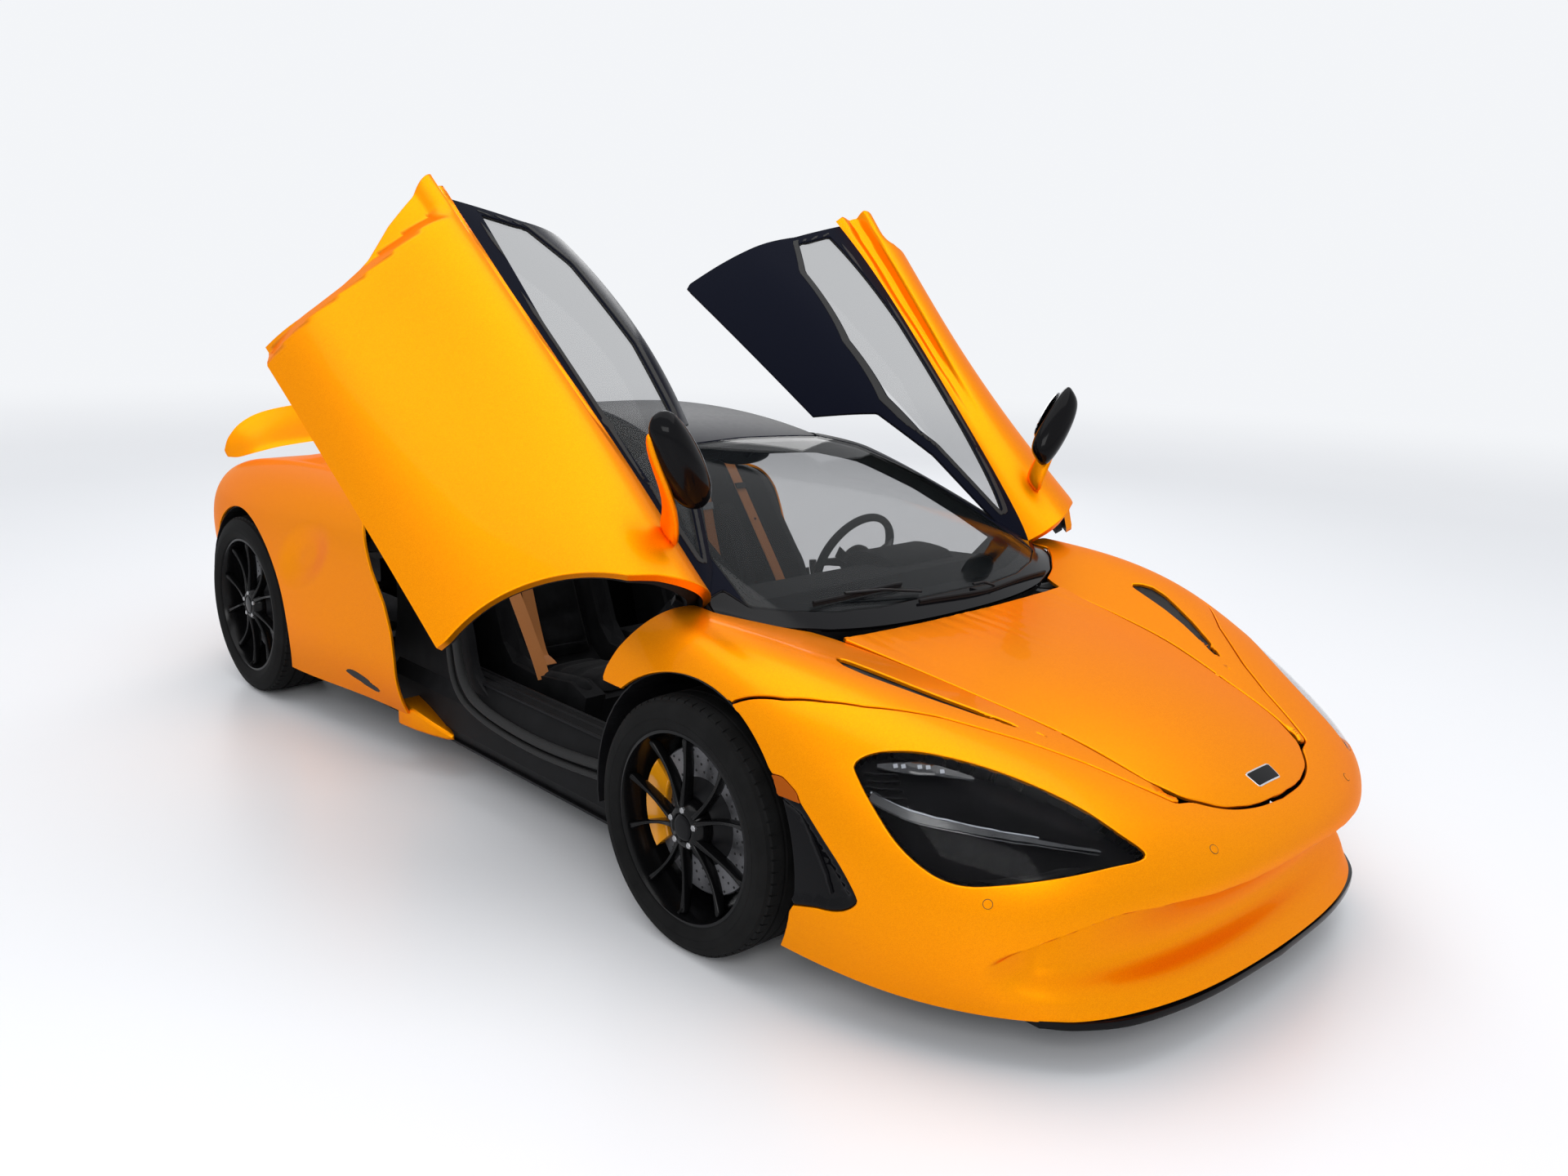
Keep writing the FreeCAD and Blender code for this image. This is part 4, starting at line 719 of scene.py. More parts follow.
sealBlack = makeSatin("doorSeal", (0.006, 0.006, 0.006), (0.012, 0.012, 0.012), 0.7, bump=0.1)
suede = makeSatin("seatSuede", (0.007, 0.007, 0.0075), (0.016, 0.016, 0.017), 0.88, grain=900, bump=0.5,
                  Sheen_Weight=0.06, Sheen_Roughness=0.4, Specular_IOR_Level=0.06)
carpet = makeSatin("carpet", (0.010, 0.010, 0.011), (0.028, 0.028, 0.03), 0.9, grain=420, bump=0.9,
                   Sheen_Weight=0.3)
beltTan = makeWeave("beltWebbing", (0.52, 0.17, 0.03), (0.75, 0.27, 0.06), 420, 0.7, Sheen_Weight=0.3)
carbon = makeWeave("carbonWeave", (0.006, 0.006, 0.007), (0.02, 0.02, 0.022), 130, 0.28, bump=0.1,
                   Coat_Weight=0.2)
castMetal = makeMetal("castMetal", (0.42, 0.42, 0.43), 0.42)
frameMetal = makeMetal("frameMetal", (0.045, 0.045, 0.048), 0.42)
engineMetal = makeMetal("engineMetal", (0.03, 0.03, 0.032), 0.5)
steel = makeMetal("exhaustSteel", (0.36, 0.34, 0.32), 0.22, 120, (1, 8, 8))
discMetal = makeMetal("brakeDisc", (0.20, 0.20, 0.21), 0.35, 260)
caliperPaint = makeGloss("caliperYellow", (0.86, 0.33, 0.006), 0.2, 0.08)
screenGlass = makeGlass("windowGlass", (0.008, 0.010, 0.011), 0.17, 0.5)
doorGlass = makeGlass("doorGlass", (0.03, 0.033, 0.034), 0.1, 0.4)
lampGlass = makeGlass("lampCover", (0.004, 0.004, 0.005), 0.04, 0.2)
amber = makeGloss("amberLens", (0.34, 0.07, 0.001), 0.2, 0.05, coat=0.0, Specular_IOR_Level=0.1)
redLens = makeGloss("redLens", (0.38, 0.006, 0.004), 0.12, 0.04)
chrome = makeMetal("brightTrim", (0.75, 0.75, 0.77), 0.08, 200)
lampLens = makeSatin("lampLens", (0.012, 0.013, 0.016), (0.035, 0.038, 0.042), 0.14, grain=300, bump=0.05,
                     Coat_Weight=0.3)
ledLight = makeMaterial("ledStrip", (0.3, 0.32, 0.35), Roughness=0.25, Emission_Color=(0.8, 0.87, 1, 1),
                        Emission_Strength=0.06)
painted = [paint, paint, satinBlack]          # outside, edge and back of a body panel
print("materials ready:", len(bpy.data.materials))


# Geometry Nodes trees for what repeats


def startTree(name, inputs):
    tree = bpy.data.node_groups.new(name, "GeometryNodeTree")
    tree.interface.new_socket("Geometry", in_out="INPUT", socket_type="NodeSocketGeometry")
    tree.interface.new_socket("Geometry", in_out="OUTPUT", socket_type="NodeSocketGeometry")
    for label, kind, value in inputs:
        socket = tree.interface.new_socket(label, in_out="INPUT", socket_type="NodeSocket" + kind)
        if value is not None:
            socket.default_value = value
    return tree, tree.nodes.new("NodeGroupInput"), tree.nodes.new("NodeGroupOutput")


def endTree(tree, source, start, end):
    realize = tree.nodes.new("GeometryNodeRealizeInstances")
    finish = tree.nodes.new("GeometryNodeSetMaterial")
    tree.links.new(source, realize.inputs[0])
    tree.links.new(realize.outputs[0], finish.inputs["Geometry"])
    tree.links.new(start.outputs["Material"], finish.inputs["Material"])
    tree.links.new(finish.outputs[0], end.inputs[0])


def makeScatterTree():
    # copies of one shape on the vertices of a mesh, each turned to the point's own direction
    tree, start, end = startTree("copiesOnPoints", [("Shape", "Object", None), ("Size", "Float", 1.0),
                                                    ("Material", "Material", None)])
    info = tree.nodes.new("GeometryNodeObjectInfo")
    info.inputs["As Instance"].default_value = True
    facing = tree.nodes.new("GeometryNodeInputNamedAttribute")
    facing.data_type = "FLOAT_VECTOR"
    facing.inputs["Name"].default_value = "facing"
    along = tree.nodes.new("GeometryNodeInputNamedAttribute")
    along.data_type = "FLOAT_VECTOR"
    along.inputs["Name"].default_value = "along"
    turnZ = tree.nodes.new("FunctionNodeAlignRotationToVector")
    turnZ.axis = "Z"
    turnX = tree.nodes.new("FunctionNodeAlignRotationToVector")
    turnX.axis = "X"
    turnX.pivot_axis = "Z"
    copies = tree.nodes.new("GeometryNodeInstanceOnPoints")
    link = tree.links.new
    link(start.outputs["Shape"], info.inputs["Object"])
    link(start.outputs["Geometry"], copies.inputs["Points"])
    link(info.outputs["Geometry"], copies.inputs["Instance"])
    link(facing.outputs["Attribute"], turnZ.inputs["Vector"])
    link(turnZ.outputs["Rotation"], turnX.inputs["Rotation"])
    link(along.outputs["Attribute"], turnX.inputs["Vector"])
    link(turnX.outputs["Rotation"], copies.inputs["Rotation"])
    link(start.outputs["Size"], copies.inputs["Scale"])
    endTree(tree, copies.outputs["Instances"], start, end)
    return tree


scatterTree = makeScatterTree()


def repeated(name, part, places, material, body="root", size=1.0, angle=35):
    # places: rows of (point, facing, along), in millimetres
    shapeMesh = bpy.data.meshes.new(name + "Shape")
    shapeMesh.from_pydata((np.array(part[0]) * mm).tolist(), [], part[1])
    shape = bpy.data.objects.new(name + "Shape", shapeMesh)
    bpy.context.scene.collection.objects.link(shape)
    mesh = bpy.data.meshes.new(name)
    mesh.from_pydata([tuple(np.array(p) * mm) for p, _, _ in places], [], [])
    for label, column in (("facing", 1), ("along", 2)):
        values = np.array([row[column] for row in places], np.float32)
        mesh.attributes.new(label, "FLOAT_VECTOR", "POINT").data.foreach_set("vector", values.ravel())
    obj = bpy.data.objects.new(name, mesh)
    bpy.context.scene.collection.objects.link(obj)
    modifier = obj.modifiers.new("repeat", "NODES")
    modifier.node_group = scatterTree
    sockets = {item.name: item.identifier for item in scatterTree.interface.items_tree}
    modifier[sockets["Shape"]] = shape
    modifier[sockets["Size"]] = size
    modifier[sockets["Material"]] = material
    obj = settled(obj)
    if not obj.data.materials:
        obj.data.materials.append(material)
    bpy.data.objects.remove(shape)
    obj.data.shade_smooth()
    obj.data.set_sharp_from_angle(angle=math.radians(angle))
    return dress(obj, body)


def ringPlaces(centre, outward, radius, depth, count, start=0.0):
    # points round an axle across the car, facing outward along the axle
    places = []
    for k in range(count):
        t = 2 * math.pi * (k + start) / count
        radial = (math.sin(t), 0, -math.cos(t))
        point = np.array(centre) + np.array(radial) * radius + np.array([0, outward * depth, 0])
        places.append((point, (0, outward, 0), radial))
    return places


def rimPlaces(*ring):
    # the same points, facing away from the axle
    return [(point, radial, along) for point, along, radial in ringPlaces(*ring)]


def discShape(radius, depth, sides=8, chamfer=0.2):
    rings = []
    for r, z in ((radius, 0), (radius, depth - chamfer), (radius - chamfer, depth)):
        rings.append([(r * math.cos(t), r * math.sin(t), z)
                      for t in turns(sides)])
    return loft(rings)


# Shut lines of the left side: (x, y) in plan, (x, z) in side view

shutLines = {
    "canopyFront": [(fore(64), -300), (fore(64), 0), (fore(64), 200), (fore(52), 330), (fore(22), 445),
                    (fore(-35), 585), (fore(-100), 668), (fore(-150), 716)],
    "screenFront": [(fore(-12), -300), (fore(-12), 240), (fore(-35), 400), (fore(-80), 530), (fore(-135), 618)],
    "screenSide": [(fore(-300), 590), (fore(-600), 540), (fore(-780), 455), (fore(-850), 330), (fore(-868), 0),
                   (fore(-868), -300)],
    "doorInner": [(fore(-150), 716), (fore(-215), 696), (fore(-330), 664), (fore(-600), 606), (fore(-800), 520),
                  (fore(-892), 330), (fore(-1625), 170), (fore(-1640), 420), (fore(-1660), 600),
                  (fore(-1765), 900)],
    "doorNose": [(fore(-466), 100), (fore(-400), 380), (fore(-330), 660), (fore(-300), 715), (fore(-245), 790),
                 (fore(-210), 838), (fore(-170), 1300)],
    "doorTail": [(fore(-1765), 1300), (fore(-1765), 905), (fore(-1690), 780), (fore(-1640), 665),
                 (fore(-1580), 566), (fore(-1545), 470), (fore(-1530), 380), (fore(-1535), 100)],
    "window": [(fore(-360), 862), (fore(-600), 975), (fore(-850), 1062), (fore(-1100), 1098),
               (fore(-1450), 1092),
               (fore(-1620), 1040), (fore(-1680), 935), (fore(-1200), 886), (fore(-700), 868)],
    "lidSide": [(noseX - 78, -200), (noseX - 78, 0), (noseX - 88, 110), (noseX - 118, 205), (noseX - 175, 278),
                (noseX - 260, 322), (fore(685), 362), (fore(485), 415), (fore(305), 445), (fore(150), 470),
                (fore(40), 492)],
    "lidRear": [(fore(40), 492), (fore(52), 330), (fore(74), 200), (fore(74), 0), (fore(74), -200)],
    "bumperSeam": [(fore(145), 1100), (fore(150), 925), (fore(200), 902), (fore(275), 870), (fore(350), 820),
                   (fore(422), 760), (fore(530), 630), (fore(680), 495), (fore(785), 420), (fore(895), 356),
                   (fore(955), 318), (fore(985), 200), (fore(985), -200), (noseX + 300, -200),
                   (noseX + 300, 1100)],
    "rearGlass": [(fore(-1730), -300), (fore(-1730), 300), (fore(-2040), 250), (fore(-2040), -300)],
    "lamp": [(1635, 853, 618), (1654, 815, 638), (1701, 774, 649), (1747, 732, 647), (1829, 664, 628),
             (1917, 603, 599), (2010, 550, 561), (2093, 515, 517), (2149, 492, 477), (2119, 578, 467),
             (2065, 675, 453), (1987, 763, 435), (1921, 813, 424), (1855, 842, 436), (1778, 861, 479),
             (1708, 865, 540), (1658, 862, 589)],
    "blade": [(fore(285), 530), (fore(382), 521), (fore(405), 509), (fore(467), 451), (fore(513), 405),
              (fore(551), 354), (fore(555), 330), (fore(519), 302), (fore(455), 289), (fore(330), 289)],
    "marker": [(1400, 572), (1417, 568), (1495, 562), (1533, 540), (1552, 516), (1459, 523), (1400, 530)],
    "vent": [(1366, 640), (1392, 668), (1426, 677), (1480, 662), (1535, 632), (1620, 583), (1708, 524),
             (1780, 468),
             (1846, 412), (1790, 446), (1708, 492), (1620, 540), (1535, 578), (1440, 612)],
    "tailLamp": [(350, 744), (560, 760), (700, 752), (860, 742), (860, 718), (700, 730), (560, 738),
                 (350, 722)],
}
gap = 2.2                     # half of the gap between two panels
archRadius = 386
lampDirection = (0.62, 0.62, 0.48)
frontHub = centreOf("tyre_fl")
rearHub = centreOf("tyre_rl")
tailJoint = aft(-560)
exhaustPlace = {"y": 78, "z": 688, "radius": 52}

flank = sheetOf(flankLines, 360, 66)
canopy = sheetOf(canopyLines, 184, 54)
doorSpace = inSide(shutLines["doorNose"] + shutLines["doorTail"])
frontArch = inWheel(frontHub.x, frontHub.z, archRadius)
rearArch = inWheel(rearHub.x, rearHub.z, archRadius)
lampShape = inView(curvedLoop(shutLines["lamp"], 4), lampDirection)
bladeShape = inSide(curvedLoop(shutLines["blade"], 4))
markerShape = within(inSide(shutLines["marker"]), outOf(frontArch))
ventShape = within(inPlan(shutLines["vent"]), lambda points: 560 - points[:, 2])
tailLampShape = inSection(shutLines["tailLamp"])
canopyEdge = inPlan(shutLines["canopyFront"] + [(fore(-900), 716), (fore(-900), -300)])
lidEdge = inPlan(curved(shutLines["lidSide"][1:], 5) + [(fore(40), -200), (noseX - 78, -200)])
lidAbove = within(lidEdge, lambda p: 440 - p[:, 2])
bumperEdge = inPlan(shutLines["bumperSeam"])


def makeFender():
    lower = inSide([(fore(-520), 622), (fore(-250), 622), (fore(-250), 0), (fore(-520), 0)])
    edge = within(ahead(fore(-500)), outOf(canopyEdge, gap), outOf(lidAbove, gap), outOf(bumperEdge, gap),
                  outOf(frontArch), outOf(doorSpace, gap), outOf(lower), outOf(ventShape))
    skin = cutPanel(flank, edge)
    for side, data in (("l", skin), ("r", mirrored(skin))):
        panelObject("fenderSkin_" + side, data, painted, replaces=["fender_" + side])
    floor = cutPanel(flank, inset(ventShape, -5), near=11, thickness=3, rounding=1,
                     relief=lambda points: 16 * smoothStep(-ventShape(points), -4, 26))
    panelObject("bonnetVents", bothSides(floor), [sealBlack])


mouthLook = {"crease": [(0, 396), (74, 394), (271, 384), (449, 380), (580, 372), (640, 352), (702, 322),
                        (760, 285),
                        (800, 250)], "depth": 84, "end": (700, 792)}


def mouthRelief(points):
    # the intake hollow under the nose, with a crisp upper crease and a soft lip below it
    look = mouthLook
    y, z = np.abs(points[:, 1]), points[:, 2]
    crease = np.interp(y, *np.array(look["crease"]).T)
    slope = 0.34 + 0.66 * np.clip((z - 190) / (crease - 206), 0, 1)
    shape = smoothStep(crease - z, -2, 18) * slope * smoothStep(z, 164, 226)
    return look["depth"] * shape * (1 - smoothStep(y, *look["end"]))


def makeBumper():
    edge = within(inset(bumperEdge, gap), outOf(lidAbove, gap), outOf(lampShape), outOf(bladeShape),
                  outOf(frontArch), ahead(fore(60)), outOf(markerShape, 0.8))
    skin = cutPanel(flank, edge, rounding=3.5, relief=mouthRelief, symmetric=True)
    panelObject("bumperSkin", bothSides(skin), painted, replaces=["front_bumper"])


quarterLook = {"ovalDepth": 20, "ovalPlace": (aft(560), 640), "ovalSize": (230, 110), "ovalLean": 28}


def quarterRelief(points):
    # the oval hollow ahead of the arch
    look = quarterLook
    side = smoothStep(points[:, 1], 840, 880)
    x = points[:, 0] - look["ovalPlace"][0]
    z = points[:, 2] - look["ovalPlace"][1]
    a = math.radians(look["ovalLean"])
    u = (x * math.cos(a) + z * math.sin(a)) / look["ovalSize"][0]
    v = (-x * math.sin(a) + z * math.cos(a)) / look["ovalSize"][1]
    return side * look["ovalDepth"] * smoothStep(1 - np.hypot(u, v), 0, 0.75)


def makeQuarter():
    edge = within(behind(fore(-1400)), ahead(tailJoint + gap), outOf(doorSpace, gap), outOf(rearArch),
                  outOf(tailLampShape))
    skin = cutPanel(flank, edge, relief=quarterRelief)
    for side, data in (("l", skin), ("r", mirrored(skin))):
        panelObject("quarterSkin_" + side, data, painted, replaces=["quarter_" + side])


tailLook = {"meshTop": 726, "meshBottom": 600, "meshHalf": 690, "pitch": 17, "rearOf": aft(-640)}


def meshOutline():
    # the left side of the tail's mesh opening, from its top round to its foot
    top, foot, half = tailLook["meshTop"], tailLook["meshBottom"], tailLook["meshHalf"]
    return [(half - 60, top), (half, top - 40), (half - 30, 630), (half - 120, foot)]


def makeTail():
    pipe = inSection([(exhaustPlace["y"] + 58 * math.cos(t), exhaustPlace["z"] + 58 * math.sin(t))
                      for t in turns(32)])
    look = tailLook
    opening = inSection(curvedLoop([(-200, look["meshTop"])] + meshOutline() + [(-200, look["meshBottom"])], 5))
    edge = within(behind(tailJoint - gap), outOf(tailLampShape), outOf(pipe),
                  outOf(within(opening, behind(look["rearOf"]))))
    skin = cutPanel(flank, edge, symmetric=True)
    panelObject("tailSkin", bothSides(skin), painted, replaces=["rear_bumper"])
    backing = cutPanel(flank, within(inset(opening, -14), behind(look["rearOf"]), outOf(pipe)), thickness=3,
                       near=16,
                       rounding=1, symmetric=True)
    panelObject("tailGrilleBacking", bothSides(backing), [satinBlack])


screenPlan = shutLines["screenFront"] + shutLines["screenSide"]
screenRegion = inPlan(screenPlan)
frameOutline = (shutLines["canopyFront"] + shutLines["doorInner"][1:-1]
                + [(fore(-1765), 820), (fore(-1850), 800), (fore(-1720), 600), (fore(-1690), 180),
                   (fore(-1690), -300)])
roofOutline = [(fore(-868), -300), (fore(-868), 0), (fore(-850), 330)] + shutLines["doorInner"][5:7] + [
    (fore(-1625), -300)]
cowlOutline = (shutLines["canopyFront"] + [(fore(-215), 696), (fore(-215), 640)]
               + shutLines["screenFront"][::-1])
deckOutline = ([(fore(-1625), -300), (fore(-1625), 170)] + shutLines["doorInner"][7:]
               + [(tailX - 80, 900), (tailX - 80, -300)])


def makeGlasshouse():
    pane = cutPanel(canopy, inset(screenRegion, 2), thickness=5, rounding=1.2, wall=4, symmetric=True)
    panelObject("windscreenPane", bothSides(pane), [screenGlass], replaces=["windscreen"])
    band = cutPanel(canopy, within(screenRegion, outOf(inset(screenRegion, 34))), thickness=1.2, rounding=0.5,
                    near=5.3, wall=1, symmetric=True)
    panelObject("windscreenBand", bothSides(band), [blackGloss])
    strip = cutPanel(canopy, inset(inPlan(roofOutline), 2), symmetric=True)
    panelObject("roofSkin", bothSides(strip), [roofBlack], replaces=["roof"])
    cover = cutPanel(canopy, inset(inPlan(cowlOutline), 2), rounding=3, symmetric=True)
    panelObject("cowlSkin", bothSides(cover), [blackGloss], replaces=["cowl"])
    frameRegion = within(inPlan(frameOutline), outOf(inset(inPlan(screenPlan), -2)),
                         outOf(inset(inPlan(roofOutline), -2)), outOf(inset(inPlan(cowlOutline), -2)),
                         outOf(inset(inPlan(deckOutline), -2)))
    trim = cutPanel(canopy, frameRegion, thickness=6, near=-1.0, rounding=3, symmetric=True)
    panelObject("pillarSkin", bothSides(trim), [roofBlack, sealBlack, trimBlack])


def makeDeck():
    glass = inPlan(shutLines["rearGlass"])
    edge = within(inset(inPlan(deckOutline), 2), outOf(glass, 2), outOf(doorSpace, gap))
    skin = cutPanel(canopy, edge, symmetric=True)
    panelObject("deckSkin", bothSides(skin), painted, replaces=["engine_cover"])
    pane = cutPanel(canopy, glass, thickness=5, rounding=1.2, symmetric=True)
    panelObject("rearPane", bothSides(pane), [screenGlass], replaces=["rear_window"])


lidSheet = sheetOf(lidLines, 116, 48)


def nearHeight(cloud, place):
    # the height of a surface's points near a place in plan
    far = ((cloud[:, :2] - place) ** 2).sum(1)
    closest = np.argsort(far)[:6]
    weight = 1 / (far[closest] + 4)
    return (cloud[closest, 2] * weight).sum() / weight.sum()


def seamLift():
    # heights that bring the lid level with the fenders along its shut line
    seam = np.array(curved(shutLines["lidSide"][1:], 6))
    flankPoints, _ = onSheet(flank, flank["params"])
    lidPoints, _ = onSheet(lidSheet, lidSheet["params"])
    flankPoints = flankPoints[flankPoints[:, 2] > 380]
    rows = []
    for x, y in seam:
        place = np.array([x, y])
        rows.append((x, y, nearHeight(flankPoints, place) - nearHeight(lidPoints, place)))
    rows = np.array(rows)[::-1]
    order = np.argsort(rows[:, 0])
    x, y, rise = rows[order].T
    rise = evened(rise)

    def sideLift(points):
        width = np.interp(points[:, 0], x, np.maximum(y, 60))
        share = np.clip(np.abs(points[:, 1]) / width, 0, 1.3)
        return np.interp(points[:, 0], x, rise) * share ** 2
    canopyPoints, _ = onSheet(canopy, canopy["params"])
    stations = np.linspace(0, 440, 23)
    behindLid = []
    for station in stations:
        place = np.array([fore(68), station])
        above = nearHeight(canopyPoints, place) - nearHeight(lidPoints, place)
        behindLid.append(above - sideLift(np.array([[fore(74), station, 0.0]]))[0] - 3)

    def lift(points):
        near = np.clip(1 - (points[:, 0] - fore(74)) / 430, 0, 1) ** 2
        return sideLift(points) + near * np.interp(np.abs(points[:, 1]), stations, behindLid)
    print("lid raised at its rear edge by", [round(float(r)) for r in behindLid[::4]])
    return lift


def makeLid():
    lidSheet["lift"] = seamLift()
    edge = within(inset(lidEdge, gap), ahead(fore(74) + 2), inPlan(shutLines["lidSide"] + shutLines["lidRear"]))
    skin = cutPanel(lidSheet, edge, symmetric=True)
    panelObject("lidSkin", bothSides(skin), painted, body="lid", replaces=["front_lid"])


makeFender()
makeBumper()
makeQuarter()
makeTail()
makeGlasshouse()
makeDeck()
makeLid()
print("body panels ready")


# Doors, drawn shut and then swung up to their open rest

hinge = np.array([fore(-238), 689, 781.0])
hingeAxis = unit(np.array([0.75, 0.546, -0.374]))
doorOpening = 64.76
doorTurn = turnAbout(hingeAxis, doorOpening)
doorLook = {"skin": 26, "trim": 34, "channelDepth": 44, "channelStart": -620, "channelFull": -1300,
            "foldTop": (fore(-1560), 870), "foldFoot": (fore(-1440), 180), "foldSlope": 0.8, "headDepth": 12}


def opened(data):
    return moved(data, doorTurn, hinge - doorTurn @ hinge)


def openedPart(part):
    points, faces = part
    return (np.array(points) - hinge) @ doorTurn.T + hinge, faces


def doorPanels(name, data, materials, replaces=None):
    data = opened(data)
    for side, body, shape in (("_l", "left_door", data), ("_r", "right_door", mirrored(data))):
        panelObject(name + side, shape, materials, body, [replaces + side] if replaces else ())


def doorSolids(name, part, material, slot, replaces=None, **looks):
    part = openedPart(part)
    for side, body, shape in (("_l", "left_door", part), ("_r", "right_door", flipped(part))):
        solidObject(name + side, shape, material, body, slot, [replaces + side] if replaces else (), **looks)


def channelShape(points):
    # the air channel that deepens along the shoulder towards the rear
    x, y = points[:, 0], points[:, 1]
    centre = np.interp(x, [fore(-1765), fore(-1250), fore(-600)], [842, 826, 806])
    width = np.interp(x, [fore(-1765), fore(-600)], [44, 20])
    along = smoothStep(-x, -fore(doorLook["channelStart"]), -fore(doorLook["channelFull"]))
    bowl = smoothStep(1 - np.abs(y - centre) / width, 0, 0.6)
    return doorLook["channelDepth"] * along * bowl * smoothStep(points[:, 2], 770, 800)


def foldShape(points):
    # the rear strip of the door, bent inwards behind its fold line
    top, foot = doorLook["foldTop"], doorLook["foldFoot"]
    share = (points[:, 2] - foot[1]) / (top[1] - foot[1])
    line = foot[0] + (top[0] - foot[0]) * share
    beyond = np.clip(line - points[:, 0], 0, None)
    soft = 4
    beyond = np.where(beyond < soft, beyond ** 2 / (2 * soft), beyond - soft / 2)
    return np.minimum(doorLook["foldSlope"] * beyond, 46) * smoothStep(850 - points[:, 2], 0, 60)


def doorRelief(points):
    return channelShape(points) + foldShape(points)


def headRegion(step):
    head = shutLines["doorInner"][1:-1]
    line = [(x - step, y + step) for x, y in head[:5]] + [(x + step, y + step) for x, y in head[5:]]
    return inPlan(line + [(fore(-1765) + step, 900), (fore(-150), 900)])


def makeDoors():
    look = doorLook
    lower = within(inset(doorSpace, 6), outOf(inWheel(frontHub.x, frontHub.z, 472)))
    skin = cutPanel(flank, lower, thickness=look["skin"], relief=doorRelief, wall=look["skin"])
    doorPanels("doorSkin", skin, painted, "door")
    lining = cutPanel(flank, inset(lower, 16), near=look["skin"] + 2, thickness=look["trim"], relief=doorRelief,
                      rounding=8, wall=12)
    doorPanels("doorLining", lining, [trimBlack])
    windowRegion = within(inSide(shutLines["window"]), headRegion(40))
    upper = within(headRegion(6), inset(doorSpace, 6))
    head = cutPanel(canopy, within(upper, outOf(windowRegion)), thickness=look["headDepth"], rounding=4)
    doorPanels("doorHead", head, [roofBlack, sealBlack, suede])
    seal = cutPanel(canopy, within(inset(windowRegion, -16), outOf(inset(windowRegion, -3))), near=-2.2,
                    thickness=4, rounding=1.6)
    doorPanels("windowSeal", seal, [sealBlack])
    pane = cutPanel(canopy, inset(windowRegion, -4), near=6, thickness=5, rounding=1.2, wall=4)
    doorPanels("doorPane", pane, [doorGlass], "door_glass")


mirrorLook = {"length": fore(-442), "sweep": -0.58, "reach": (888, 1112), "headHeight": 138, "headWidth": 150,
              "middle": 922}


def makeMirrors():
    look = mirrorLook
    rings = []
    for share in np.linspace(0, 1, 15):
        turn = share * math.pi
        y = look["reach"][0] + (look["reach"][1] - look["reach"][0]) * (1 - math.cos(turn)) / 2
        swell = math.sin(turn) ** 0.5
        lean = 1 - 0.3 * share
        middle = look["middle"] - 10 * (1 - share)
        x = look["length"] + look["sweep"] * (y - look["reach"][0])
        wide = look["headWidth"] / 2 * swell
        tall = look["headHeight"] / 2 * swell * lean
        ring = []
        for t in turns(24):
            bulge = 1.0 if math.cos(t) > 0 else 0.55
            ring.append((x + wide * bulge * math.cos(t) * (0.6 + 0.4 * lean), y, middle + tall * math.sin(t)))
        rings.append(ring)
    doorSolids("mirrorHead", loft(rings), blackGloss, "black_gloss", "mirror", levels=1, angle=60)
    stalk = []
    for x, y, z, wide, tall in ((-405, 836, 800, 44, 15), (-422, 868, 824, 38, 12), (-446, 912, 844, 34, 12),
                                (-482, 968, 855, 32, 13), (-520, 1022, 862, 27, 14), (-548, 1064, 872, 18, 12),
                                (-560, 1084, 880, 8, 6)):
        centre = np.array([fore(x), y, z])
        ring = []
        for t in turns(12):
            ring.append(centre + np.array([wide * math.cos(t), -tall * 0.7 * math.sin(t), tall * math.sin(t)]))
        stalk.append(ring)
    doorSolids("mirrorStalk", loft(stalk), paint, "body_paint", levels=1, angle=60)
    glass = []
    for depth, size in ((0, 1.0), (-3, 1.0), (-4, 0.9)):
        ring = []
        for t in turns(28):
            y = 1000 + 74 * size * math.cos(t)
            x = look["length"] + look["sweep"] * (y - look["reach"][0]) - 38 + depth
            ring.append((x, y, look["middle"] - 3 + 44 * size * math.sin(t)))
        glass.append(ring)
    doorSolids("mirrorGlass", loft(glass), chrome, "glass")


def makeHinges():
    way = hingeAxis
    end = hinge + np.array([-60, 42, -48])
    side = unit(np.cross(end - hinge, way))
    arm = [[p + way * (a * 12) + side * (b * 13) for a, b in ((-1, -1), (1, -1), (1, 1), (-1, 1))]
           for p in (hinge, (hinge + end) / 2 + side * 4, end)]
    barrel = tube([hinge - way * 14, hinge, hinge + way * 14], 20, 24)
    doorSolids("hingeArm", loft(arm), satinBlack, "frame_metal", bevel=3)
    doorSolids("hingeBarrel", barrel, frameMetal, "frame_metal", bevel=2)


makeDoors()
makeMirrors()
makeHinges()
print("doors ready")


# Wheels, tyres and brakes

wheelLook = {"front": {"width": 245, "rim": 241.3, "disc": 190},
             "rear": {"width": 305, "rim": 254.0, "disc": 190},
             "spokes": 10, "sides": 96, "discInset": 88, "discThickness": 34,
             "rootLean": 0.14, "holes": 26}
tyreLook = {"tread": 6.5, "grooves": (-62, -22, 22, 62), "blocks": 68, "sides": 120}


